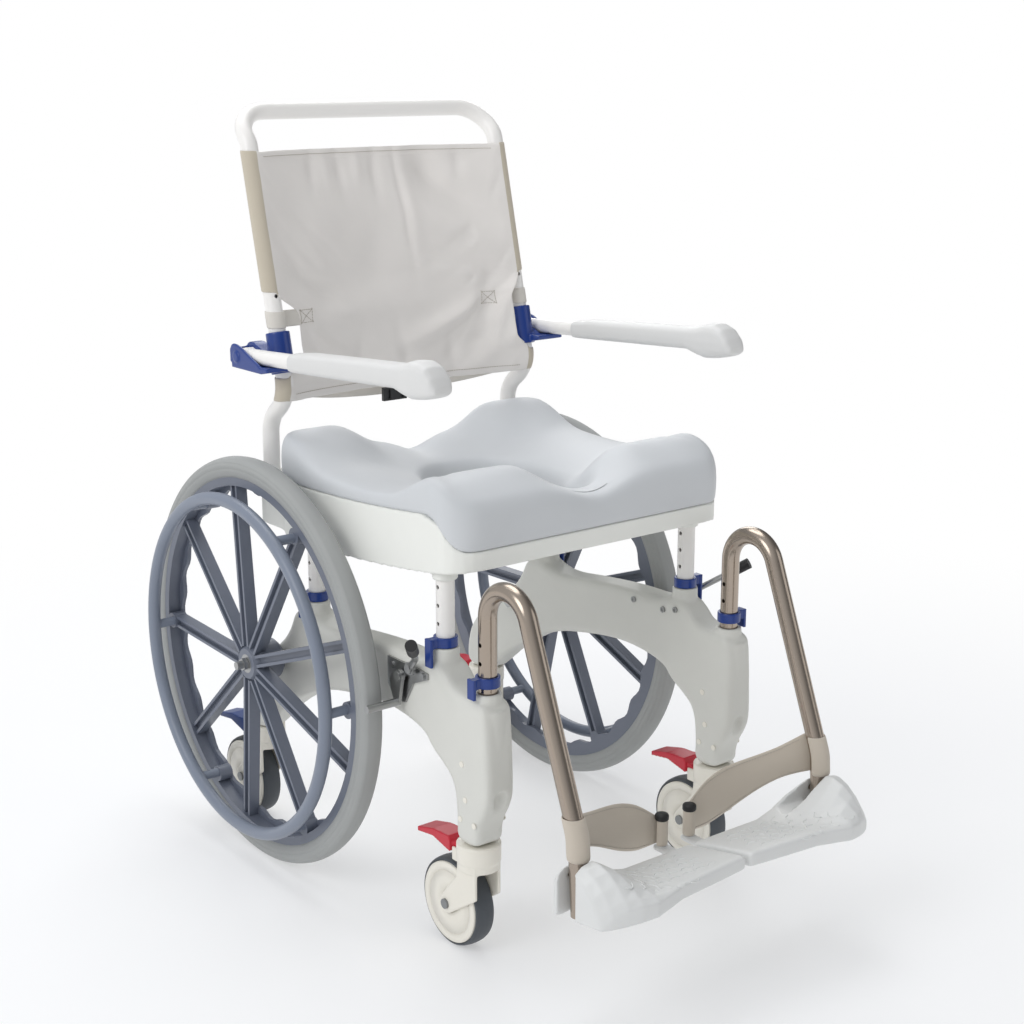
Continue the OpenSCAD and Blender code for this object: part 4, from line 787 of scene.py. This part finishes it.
@dataclass(frozen=True)
class Seat:
    """The seat: tray, moulded foam pad with its opening, height tubes and clips."""

    width: float = 480
    length: float = 452
    front_ahead: float = 440
    corner_r: float = 42
    joint_front: float = 556
    joint_side: float = 577
    joint_climb: float = 22
    tray_wall: float = 7.3
    floor: float = 547.3
    top: float = 612
    opening_y: float = -203
    half_w: float = 92
    half_l: float = 118
    slot_reach: float = 172
    slot_half_w: float = 40
    corner_lobe: float = 34
    rear_lobe: float = 33
    rear_dip: float = 25
    bowl_dip: float = 24
    waist_dip: float = 5
    channel_dip: float = 12
    # Up the pad's side: how far it bulges, and where between the joint and the top
    bulges: tuple = ((2, 0.35), (1.6, 0.6), (-1, 0.82))
    # Over its shoulder: how far inside the edge, and how far below the top
    shoulder: tuple = ((7, 3.2), (14, 1.0), (24, 0))
    # Across its top: shares of the way from the edge to the opening
    across: tuple = (0.28, 0.42, 0.55, 0.67, 0.77, 0.85, 0.91, 0.96)
    lip_from: float = 0.72
    lip_dip: float = 8

    def loop(self, inward: float) -> list[Vector]:
        """The seat's outline in plan, moved inwards, anticlockwise from the front left corner."""
        half, radius = self.width / 2 - inward, self.corner_r - inward
        low, high = inward - self.front_ahead, self.length - self.front_ahead - inward
        centres = [Vector(c) for c in ((half - radius, low + radius), (half - radius, high - radius),
                                       (radius - half, high - radius), (radius - half, low + radius))]
        steps, edges = 8, (20, 24, 20, 32)
        points = []
        for k, centre in enumerate(centres):
            for j in range(steps + 1):
                turn = math.radians(90 * (k - 1) + 90 * j / steps)
                points.append(centre + radius * Vector((math.cos(turn), math.sin(turn))))
            first = points[-1]
            turn = math.radians(90 * k)
            last = centres[(k + 1) % 4] + radius * Vector((math.cos(turn), math.sin(turn)))
            points += [mix(first, last, j / edges[k]) for j in range(1, edges[k])]
        return points

    def joint(self, y: float) -> float:
        """Height of the joint between tray and pad."""
        rear = self.length - self.front_ahead
        share = min(1.0, max(0.0, (rear - 80 - y) / (self.length - 140)))
        return mix(self.joint_side + self.joint_climb * share**1.7, self.joint_front,
                   smooth((60 - self.front_ahead - y) / 56))

    def opening(self, point: Vector) -> Vector:
        """The point of the opening's edge that faces a point of the outline."""
        middle = Vector((0, self.opening_y))
        towards = (point - middle).normalized()
        oval = 1 / Vector((towards.x / self.half_w, towards.y / self.half_l)).length
        slot = 0.0
        if towards.y < 0:
            slot = ((abs(towards.x) / self.slot_half_w) ** 4 + (towards.y / self.slot_reach) ** 4) ** -0.25
        return middle + (oval**8 + slot**8) ** 0.125 * towards

    def height(self, point: Vector, share: float) -> float:
        """Height of the pad's top, at a share of the way from its edge to the opening."""
        x, y = abs(point.x), point.y
        from_front = y + self.front_ahead
        bowl_from = mix(0.62, 0.2, smooth((from_front - 80) / 90))
        thigh_lobe = self.corner_lobe * smooth((x - 26) / 84) * hump((from_front - 68) / 52)
        hip_lobe = self.rear_lobe * smooth((x - 72) / 74) * plateau((y - 14) / 96)
        waist = self.waist_dip * hump((x - 225) / 60) * hump((y + 200) / 80)
        rear = self.rear_dip * hump(x / 44) * hump((y - 5) / 62)
        bowl = self.bowl_dip * smooth((share - bowl_from) / (1 - bowl_from))
        channel = self.channel_dip * hump(x / 38) * hump((from_front - 6) / 60)
        return self.top + thigh_lobe + hip_lobe - waist - rear - bowl - channel

    def section(self, edge: Vector, out: Vector, rim: Vector) -> list[Vector]:
        """The pad's section from its seat in the tray, over the top and down the opening."""
        joint = self.joint(edge.y) + 0.3
        top = self.height(edge, 0)
        mouth = self.opening(edge)
        points = [(rim, self.floor), (rim, joint), (edge, joint), (edge + 1.2 * out, joint + 3)]
        points += [(edge + bulge * out, mix(joint, top, share)) for bulge, share in self.bulges]
        for back, drop in self.shoulder:
            spot = edge - back * out
            points.append((spot, self.height(spot, 0) - drop))
        for share in self.across:
            spot = mix(edge, mouth, share)
            rounding = self.lip_dip * max(0.0, (share - self.lip_from) / (1 - self.lip_from)) ** 2.2
            points.append((spot, self.height(spot, share) - rounding))
        lip = self.height(mouth, 1)
        inward = (mouth - edge).normalized()
        hidden, foot = mouth - 4 * inward, self.floor - 16
        points += [(mouth + 0.6 * inward, lip - 15), (mouth, lip - 27), (mouth, foot), (hidden, foot),
                   (hidden, self.floor)]
        return [chair_point(p.x, p.y, z) for p, z in points]

    def build(self) -> None:
        """Makes the pad and the tray, and dresses tubes and clips."""
        outline, inner, rim = self.loop(0), self.loop(10), self.loop(self.tray_wall)
        rings = [self.section(o, (o - i).normalized(), r) for o, i, r in zip(outline, inner, rim)]
        mesh = subdivided(scratch(welded(lofted("pad", [*rings, rings[0]]))))
        hang("seat_pad_foam", mesh, PAD_FOAM, "seat_pad")
        moulded("seat_shell", TRAY_PLASTIC, voxel_mm=2.4, rounds=4)
        dress("seat_tubes", POWDER_COAT)
        moulded("seat_clips", CLIP_BLUE, voxel_mm=1.2, rounds=3)


@dataclass(frozen=True)
class Backrest:
    """The back: bent tube, sling fabric that wraps it, straps and buckle."""

    half: float = 221
    lean: float = 13.3
    start_z: float = 694
    start_y: float = -6
    tube_r: float = 12.5
    low: float = 688
    high: float = 1040
    gap_low: float = 723
    gap_high: float = 843
    gap_depth: float = 40
    far_gap_depth: float = 24
    flare: float = 17
    belly: float = 26
    cloth: float = 1.6
    # Unrolled length of a sleeve, and the sling's whole area in square metres
    sleeve: float = 58
    area: float = 0.178
    strap_z: float = 792
    strap_w: float = 24
    strap_end: float = 153
    tension_z: float = 700
    tension_sag: float = 23
    tension_w: float = 17
    columns: int = 88
    bend_r: float = 45
    bend_middle: tuple[float, float] = (44.43, 711.73)
    bend_end: float = 722.09
    hem: float = 12
    fold_gain: float = 1.9
    # Each fold: its middle x and z, half length, half width, turn in degrees from X and depth behind
    folds: tuple = (
        (44, 955, 84, 5, 93, 2.2), (56, 955, 88, 11, 94, -1.5), (-115, 1010, 28, 9, 86, 2.8),
        (-88, 1008, 26, 8, 95, -1.6), (-62, 1008, 30, 8, 93, 2.6), (-30, 1012, 26, 9, 88, -1.8),
        (2, 1006, 34, 9, 87, 3.2), (96, 1006, 36, 22, 108, 7.5), (150, 1012, 28, 10, 84, 2.4),
        (140, 958, 76, 20, -34, 5.0), (118, 908, 95, 26, -24, -5.5), (-120, 905, 70, 44, 80, -4.0),
        (-152, 852, 66, 17, -18, 6.0), (-92, 802, 110, 24, 6, -4.5), (176, 812, 36, 20, 62, 12.0),
        (112, 786, 88, 14, 22, -8.0), (118, 846, 80, 15, -24, -4.0), (150, 744, 60, 15, 24, 4.0),
        (-72, 724, 34, 13, 78, 3.6), (12, 732, 40, 12, 102, 3.2), (96, 726, 32, 11, 84, 3.4),
        (-20, 872, 70, 30, 70, 2.5),
    )

    def tube(self, z: float) -> float:
        """Place of the back tube's centre line at a height."""
        if z < self.bend_end:
            return self.bend_middle[0] - math.sqrt(self.bend_r**2 - (z - self.bend_middle[1]) ** 2)
        return self.start_y + (z - self.start_z) * math.tan(math.radians(self.lean))

    def creased(self, x: float, z: float) -> float:
        """How far the folds push a point of the cloth back."""
        total = 0.0
        for middle_x, middle_z, half_length, half_width, degrees, deep in self.folds:
            c, s = math.cos(math.radians(degrees)), math.sin(math.radians(degrees))
            along = (c * (x - middle_x) + s * (z - middle_z)) / half_length
            across = (c * (z - middle_z) - s * (x - middle_x)) / half_width
            total += deep * hump(along) * hump(across)
        return self.fold_gain * total

    def out(self) -> float:
        """Radius at which the cloth lies round a tube."""
        return self.tube_r + 0.3 + self.cloth / 2

    def depth(self, x: float, z: float) -> float:
        """How far the cloth lies behind the tubes' centre lines."""
        share = min(1.0, abs(x) / self.half)
        fall = (1 - share**2.6) * (0.55 + 0.45 * smooth((z - self.low + 60) / 120))
        free = 1 - share**5
        in_gap = smooth((z - self.gap_low) / 30) * smooth((self.gap_high - z) / 30)
        flare = self.flare * smooth((x - 150) / 50) * in_gap
        hemmed = 1.3 * (smooth(z - self.high + self.hem + 0.5) + smooth(self.low + self.hem + 0.5 - z))
        return mix(-self.out(), self.belly, fall) + free * self.creased(x, z) - flare - free * hemmed

    def edge(self, z: float, side: Side) -> float:
        """Half width of the cloth's front at a height, drawn in beside the arm brackets."""
        drawn = self.gap_depth if side is Side.RIGHT else self.far_gap_depth
        return self.half - drawn * smooth((z - self.gap_low) / 26) * smooth((self.gap_high - z) / 36)

    def on_cloth(self, x: float, z: float) -> Vector:
        """A point on the cloth's middle surface."""
        return chair_point(x, self.tube(z) + self.depth(x, z), z)

    def heights(self) -> list[float]:
        """The rows of the cloth, with one on each edge of the hems and cut-outs."""
        low_hem, high_hem, step = self.low + self.hem, self.high - self.hem, 0.5
        parts = (
            (self.low, low_hem - step, 2), (low_hem - step, low_hem + step, 1),
            (low_hem + step, self.gap_low, 5), (self.gap_low, self.gap_high, 24),
            (self.gap_high, high_hem - step, 36), (high_hem - step, high_hem + step, 1),
            (high_hem + step, self.high, 2),
        )
        return [mix(a, b, k / n) for a, b, n in parts for k in range(n)] + [self.high]

    def sleeve_row(self, side: Side, z: float) -> list[Vector]:
        """One row of a sleeve, from the front round the tube and onto the cloth's back."""
        return [
            chair_point(side.value * (self.half + self.out() * math.sin(t)),
                        self.tube(z) - self.out() * math.cos(t), z)
            for t in (math.radians(a) for a in range(20, 261, 20))
        ]

    def sling(self) -> Mesh:
        """The sling: a front that spans the tubes, and sleeves that wrap round them."""
        work = bmesh.new()
        uv = work.loops.layers.uv.new("UVMap")

        def patch(below: Sequence, above: Sequence, i: int, xs: Sequence[float], zs: Sequence[float]) -> None:
            """Fills the cloth from column i to the next, between two rows of points."""
            face = work.faces.new((below[i], below[i + 1], above[i + 1], above[i]))
            for loop, x, z in zip(face.loops, xs, zs):
                loop[uv].uv = (x * MM, z * MM)

        rows = []
        for z in self.heights():
            ends = (-self.edge(z, Side.RIGHT), self.edge(z, Side.LEFT))
            spread = [mix(*ends, i / self.columns) for i in range(self.columns + 1)]
            front = [work.verts.new(self.on_cloth(x, z)) for x in spread]
            sleeves = None
            if z <= self.gap_low or z >= self.gap_high:
                sleeves = {side: [work.verts.new(p) for p in self.sleeve_row(side, z)] for side in Side}
            rows.append((z, spread, front, sleeves))
        for (z0, x0, low, low_sleeves), (z1, x1, high, high_sleeves) in zip(rows, rows[1:]):
            zs = (z0, z0, z1, z1)
            for i in range(self.columns):
                patch(low, high, i, (x0[i], x0[i + 1], x1[i + 1], x1[i]), zs)
            if low_sleeves and high_sleeves and (z1 <= self.gap_low or z0 >= self.gap_high):
                for side in Side:
                    end = 0 if side is Side.RIGHT else -1
                    below, above = [low[end], *low_sleeves[side]], [high[end], *high_sleeves[side]]
                    step = self.out() * math.radians(20)
                    for i in range(len(below) - 1):
                        a, b = self.half + i * step, self.half + (i + 1) * step
                        patch(below, above, i, (a, b, b, a), zs)
        bmesh.ops.recalc_face_normals(work, faces=work.faces)
        mesh = bpy.data.meshes.new("sling")
        work.to_mesh(mesh)
        work.free()
        return mesh

    def strip(self, path: Sequence[tuple[float, float]], z: float, width: float) -> Mesh:
        """A flat strap that follows (x, y behind the tube) points, as wide as given along the lean."""
        rings = []
        for k in range(5):
            level = mix(z, z + width, k / 4)
            rings.append([chair_point(x, self.tube(level) + y, level) for x, y in path])
        return thickened(lofted("strap", rings, closed=False), 1.6)

    def side_strap(self, side: Side) -> Mesh:
        """The strap that loops round a tube and is sewn to the back of the cloth."""
        mid = self.strap_z + self.strap_w / 2
        flat = [mix(self.strap_end, self.half - self.out() - 4, k / 8) for k in range(9)]
        behind = [self.depth(side.value * x, mid) + self.cloth + 1.2 for x in flat]
        path = [(side.value * x, mix(behind[k], 0, smooth(k / 8 - 0.1))) for k, x in enumerate(flat)]
        wrap = self.out()
        loop = (math.radians(a) for a in range(-90, 251, 20))
        path += [(side.value * (self.half + wrap * math.sin(t)), -wrap * math.cos(t)) for t in loop]
        return self.strip(path, self.strap_z, self.strap_w)

    def tension_strap(self) -> Mesh:
        """The strap that hangs behind the cloth's lower edge."""
        reach = self.half - self.tube_r - 8
        rings = []
        for k in range(4):
            ring = []
            for i in range(33):
                x = mix(-reach, reach, i / 32)
                arch = 1 - (x / reach) ** 2
                z = self.tension_z - self.tension_sag * arch
                y = self.tube(z) + self.depth(x, z) + self.cloth + 12 * arch + 12 * abs(x / reach) ** 6
                ring.append(chair_point(x, y, z + mix(-0.5, 0.5, k / 3) * self.tension_w))
            rings.append(ring)
        return thickened(lofted("tension", rings, closed=False), 1.6)

    def in_front(self, surface: BVHTree, x: float, z: float) -> Vector:
        """The point of the settled cloth's front that the sitter would see at a place."""
        hung = self.on_cloth(x, z)
        spot = surface.ray_cast(hung - 100 * MM * BACKWARDS, BACKWARDS)[0] or hung
        return spot - self.cloth / 2 * MM * BACKWARDS

    def seams(self, surface: BVHTree) -> list[Matrix]:
        """Places of the stitches along the hems and the straps' boxes."""
        rows = []
        for z in (self.high - self.hem + 3, self.low + self.hem - 3):
            rows.append([self.in_front(surface, mix(-205, 205, k / 80), z) for k in range(81)])
        for side in Side:
            x0, x1 = side.value * (self.strap_end + 3), side.value * (self.strap_end + 25)
            z0, z1 = self.strap_z + 3, self.strap_z + self.strap_w - 3
            box = [(x0, z0), (x1, z0), (x1, z1), (x0, z1), (x0, z0), (x1, z1), (x1, z0), (x0, z1)]
            for a, b in zip(box, box[1:]):
                ways = [(mix(a[0], b[0], k / 6), mix(a[1], b[1], k / 6)) for k in range(7)]
                rows.append([self.in_front(surface, *way) for way in ways])
        return [place for row in rows for place in stitch_places(row, -BACKWARDS)]

    def build(self) -> None:
        """Makes the soft goods, and dresses the tube and the buckle."""
        dress("back_tube", POWDER_COAT)
        cloth = settle(self.sling(), self.sewn_down, slack=0.002, frames=16, cap_mm=2.5)
        surface = BVHTree.FromPolygons([v.co for v in cloth.vertices], [f.vertices for f in cloth.polygons])
        sling = hang("back_sling", thickened(cloth, self.cloth), SLING, "back_fabric")
        repaint(sling, SLEEVE_CLOTH, lambda face: abs(face.center.x) > (self.half - 3) * MM)
        straps = [self.side_strap(side) for side in Side] + [self.tension_strap()]
        hang("back_straps", joined(straps), WEBBING, "back_strap")
        sew("back_stitches", self.seams(surface), "back_fabric")
        dress("strap_buckle", BUCKLE)

    def sewn_down(self, point: Vector) -> bool:
        """Whether a point of the cloth is held by a sleeve or a strap."""
        z = point.z / MM
        edge = self.edge(z, Side.LEFT if point.x > 0 else Side.RIGHT)
        return abs(point.x) / MM > edge - 3 and not self.gap_low + 30 < z < self.gap_high - 40


@dataclass(frozen=True)
class Arm:
    """A flip-up arm: beam and foam pad."""

    side: Side

    def build(self) -> None:
        """Rounds the pad as the foam mould leaves it, and dresses the beam."""
        dress(f"arm_beam_{self.side.word}", POWDER_COAT)
        node = f"arm_pad_{self.side.word}"
        moulded(node, ARM_FOAM, voxel_mm=2.0, rounds=6, name=f"{node}_foam")


@dataclass(frozen=True)
class LegRest:
    """A swing-away leg rest: tube, clip, footplate with its tread, heel strap and peg knob."""

    side: Side
    tube_x: float = 217
    knee_z: float = 243
    slope: float = 21
    foot_slope: float = 4
    hanger_ahead: float = 474
    bend_r: float = 43
    top: float = 523
    tube_r: float = 12.8
    heel_t: float = 2.4
    low: float = 214
    high: float = 268
    peg_low: float = 158
    peg_high: float = 195
    widths: tuple = (1, 0.85, 0.78, 0.82, 0.93, 1.07, 1.2, 1.27, 1.22, 1, 0.68)
    peg_x: float = 25
    peg_ahead: float = 600
    peg_r: float = 6.3
    peg_top: float = 197
    bow: float = 16
    mean_width: float = 52
    tread_rows: int = 6
    tread_columns: int = 8
    tread_first: float = 18
    tread_pitch: tuple[float, float] = (21, 15.5)

    def shin(self, z: float) -> float:
        """Place of the tube's centre line at a height, ahead of the axle."""
        peak = self.top - self.bend_r + self.bend_r * math.tan(math.radians(90 - self.slope / 2))
        knee = self.hanger_ahead + (peak - self.knee_z) * math.tan(math.radians(self.slope))
        if z > self.knee_z:
            return self.hanger_ahead + (peak - z) * math.tan(math.radians(self.slope))
        return knee + (self.knee_z - z) * math.tan(math.radians(self.foot_slope))

    def width(self, share: float) -> float:
        """Width of the heel strap at a share of the way from the tube to the peg."""
        step = share * (len(self.widths) - 1)
        first = min(int(step), len(self.widths) - 2)
        return mix(self.widths[first], self.widths[first + 1], step - first) * (self.high - self.low)

    def heel_rows(self, rows: int = 7) -> list[list[Vector]]:
        """The heel strap's middle surface: round the tube, across, and round the peg."""
        wrap, peg_wrap = self.tube_r + self.heel_t / 2, self.peg_r + self.heel_t / 2
        sign = self.side.value
        surface = []
        for k in range(rows):
            share = k / (rows - 1)
            row = []
            for turn in range(-185, 91, 18):
                t = math.radians(turn)
                z = mix(self.low, self.high, share)
                row.append((self.tube_x + wrap * math.cos(t), wrap * math.sin(t) - self.shin(z), z))
            for step in range(1, 15):
                s = step / 15
                middle = mix(self.low + self.high, self.peg_low + self.peg_high, s) / 2
                z = middle + self.width(s) * (share - 0.5)
                z_tube = mix(self.low, self.high, share)
                y = mix(wrap - self.shin(z_tube), peg_wrap - self.peg_ahead, s) + self.bow * 4 * s * (1 - s)
                row.append((mix(self.tube_x, self.peg_x, s), y, z))
            for turn in range(90, 371, 20):
                t = math.radians(turn)
                z = mix(self.peg_low, self.peg_high, share)
                row.append((self.peg_x + peg_wrap * math.cos(t), peg_wrap * math.sin(t) - self.peg_ahead, z))
            surface.append([chair_point(sign * x, y, z) for x, y, z in row])
        return surface

    def tread(self, plate: Object) -> list[Matrix]:
        """Places of the tread marks on a footplate's top, in staggered rows."""
        places = []
        low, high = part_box(f"footplate_{self.side.word}")
        middle = (low.x + high.x) / 2
        for row in range(self.tread_rows):
            for column in range(self.tread_columns):
                x = middle + (column - 4.1 + 0.5 * (row % 2)) * self.tread_pitch[0] * MM
                y = low.y + (self.tread_first + row * self.tread_pitch[1]) * MM
                hit, spot, normal, _ = plate.ray_cast(Vector((x, y, high.z + 0.05)), Vector((0, 0, -1)))
                if not hit or normal.z < 0.9:
                    continue
                turn = normal.to_track_quat("Z", "Y")
                places.append(Matrix.Translation(spot) @ turn.to_matrix().to_4x4())
        return places

    def crescent(self) -> Mesh:
        """One tread mark: a low arc of round bar, capped at both ends."""
        path = [Vector((8 * math.cos(t), 8 * math.sin(t), 0)) * MM
                for t in (math.radians(a) for a in range(200, 341, 14))]
        return thread_along(path, 0.95)

    def build(self) -> None:
        """Makes the strap, tread and knob, and dresses the rest."""
        word = self.side.word
        dress(f"hanger_{word}", STAINLESS_TUBE)
        moulded(f"hanger_clip_{word}", CLIP_BLUE, voxel_mm=1.0, rounds=3)
        node = f"footplate_{word}"
        plate = moulded(node, FOOT_PLASTIC, voxel_mm=1.6, rounds=12)
        marks = Repeat.on(self.tread(plate), self.crescent(), FOOT_PLASTIC)
        hang(f"tread_marks_{word}", marks, FOOT_PLASTIC, node, stands_in=False)
        surface = self.heel_rows()
        strap_node = f"heel_strap_{word}"
        cloth = thickened(lofted("heel", surface, closed=False), self.heel_t)
        strap = hang(f"{strap_node}_cloth", cloth, HEEL_CLOTH, strap_node)
        places = []
        for row, toward in ((0, 1), (-1, -2)):
            seam = [mix(a, b, 0.45) for a, b in zip(surface[row], surface[toward])]
            for outward in (-BACKWARDS, BACKWARDS):
                lifted = [p + self.heel_t / 2 * MM * outward for p in seam[16:30]]
                places += stitch_places(lifted, outward)
        sew(f"heel_stitches_{word}", places, strap_node)
        stand = chair_point(self.side.value * self.peg_x, -self.peg_ahead, self.peg_top - 4)
        outline = [(0, 5), (0.6, 8.5), (2, 9.4), (7, 9.4), (9, 8.2), (9.8, 4), (9.9, 1)]
        knob = lathed(outline, Matrix.Translation(stand))
        hang(f"peg_knob_{word}", knob, GRIP_RUBBER, node, stands_in=False)


@dataclass(frozen=True)
class Studio:
    """The plain pale floor, the soft lamps and the camera at the photograph's angle."""

    azimuth: float = -38.198
    elevation: float = 14.497
    place: tuple[float, float, float] = (-1.4973, -1.9252, 1.1636)
    sensor_mm: float = 36.0
    focal_px: float = 1745.402
    image_px: float = 1024.0
    floor_size: float = 40.0
    floor_colour: str = "#f4f5f7"
    # The floor fades to plain white between these distances from the chair, in metres
    floor_fade: tuple[float, float] = (0.7, 2.1)
    floor_glow: float = 0.4
    sky_colour: str = "#eceef1"
    # The sky brightens towards this way, over these cosines and between these strengths
    bright_way: tuple[float, float, float] = (-0.86, 0.26, 0.43)
    sky_turn: tuple[float, float] = (-0.5, 0.8)
    sky_power: tuple[float, float] = (0.22, 0.85)
    # Each lamp: its name, place, diameter and power in watts, and the point that all are aimed at
    lamps: tuple = (
        ("key", (-2.9, -0.4, 2.4), 2.0, 30.0),
        ("top", (0.2, 1.2, 3.3), 2.6, 46.0),
        ("fill", (2.6, -2.9, 1.9), 2.6, 15.0),
        ("rim", (2.4, 2.8, 2.2), 2.0, 26.0),
    )
    aim: tuple[float, float, float] = (0, 0, 0.55)

    def camera(self) -> None:
        """Sets the camera where the photograph was taken from."""
        data = bpy.data.cameras.new("camera")
        data.sensor_width = self.sensor_mm
        data.lens = self.sensor_mm * self.focal_px / self.image_px
        camera = placed("camera", data)
        camera.location = self.place
        camera.rotation_euler = Euler((math.radians(90 - self.elevation), 0, math.radians(self.azimuth)))
        bpy.context.scene.camera = camera

    def floor(self) -> None:
        """Lays a floor that is white to the camera and keeps the chair's shadow."""
        mesh = bpy.data.meshes.new("floor")
        half = self.floor_size / 2
        corners = [(-half, -half, 0), (half, -half, 0), (half, half, 0), (-half, half, 0)]
        mesh.from_pydata(corners, [], [(0, 1, 2, 3)])
        paint = bpy.data.materials.new("studio_floor")
        paint.use_nodes = True
        tree = paint.node_tree
        shader = tree.nodes["Principled BSDF"]
        shader.inputs["Base Color"].default_value = linear(self.floor_colour)
        shader.inputs["Roughness"].default_value = 0.9
        place = add_node(tree, "ShaderNodeTexCoord").outputs["Object"]
        reach = add_node(tree, "ShaderNodeVectorMath", {0: place}, operation="LENGTH").outputs["Value"]
        far = soft_ramp(tree, reach, self.floor_fade, (self.floor_glow, 1.0))
        glow = add_node(tree, "ShaderNodeEmission", {"Color": (1, 1, 1, 1), "Strength": 1.0})
        faded = {0: far, 1: shader.outputs[0], 2: glow.outputs[0]}
        blend = add_node(tree, "ShaderNodeMixShader", faded)
        tree.links.new(blend.outputs[0], tree.nodes["Material Output"].inputs["Surface"])
        mesh.materials.append(paint)
        placed("floor", mesh)

    def lights(self) -> None:
        """Hangs the lamps, aimed at the seat, and sets the world."""
        for name, place, size, watts in self.lamps:
            data = bpy.data.lights.new(name, "AREA")
            data.shape = "DISK"
            data.size = size
            data.energy = watts
            lamp = placed(name, data)
            lamp.location = place
            lamp.rotation_euler = (Vector(self.aim) - Vector(place)).to_track_quat("-Z", "Y").to_euler()
        world = bpy.data.worlds.new("studio")
        world.use_nodes = True
        bpy.context.scene.world = world
        tree = world.node_tree
        plain = tree.nodes["Background"]
        plain.inputs["Color"].default_value = linear(self.sky_colour)
        way = add_node(tree, "ShaderNodeTexCoord").outputs["Generated"]
        aligned = {0: way, 1: self.bright_way}
        towards = add_node(tree, "ShaderNodeVectorMath", aligned, operation="DOT_PRODUCT").outputs["Value"]
        power = soft_ramp(tree, towards, self.sky_turn, self.sky_power)
        tree.links.new(power, plain.inputs["Strength"])
        white = add_node(tree, "ShaderNodeBackground", {"Color": (1, 1, 1, 1), "Strength": 1.0})
        seen = add_node(tree, "ShaderNodeLightPath").outputs["Is Camera Ray"]
        blend = add_node(tree, "ShaderNodeMixShader", {0: seen, 1: plain.outputs[0], 2: white.outputs[0]})
        tree.links.new(blend.outputs[0], tree.nodes["World Output"].inputs["Surface"])

    def build(self) -> None:
        """Sets up the whole studio."""
        self.camera()
        self.floor()
        self.lights()
        bpy.context.scene.view_settings.view_transform = "Standard"


def main() -> None:
    """Builds the studio and every sub-assembly, and reports each piece."""
    logging.basicConfig(level=logging.INFO, format="%(message)s")
    Studio().build()
    for side in Side:
        SideFrame(side).build()
        MainWheel(side).build()
        TyreBrake(side).build()
        Arm(side).build()
        LegRest(side).build()
        for end in End:
            Castor(end, side).build()
    for node in ("wheel_axles", "brake_plates"):
        dress(node, STAINLESS_FITTING)
    screws = dress("frame_screws", STAINLESS_FITTING)
    repaint(screws, CASTOR_PLASTIC, lambda face: face.center.z < PLUGS_BELOW)
    Seat().build()
    Backrest().build()
    moulded("arm_brackets", CLIP_BLUE, voxel_mm=1.3, rounds=6)


if __name__ == "__main__":
    main()
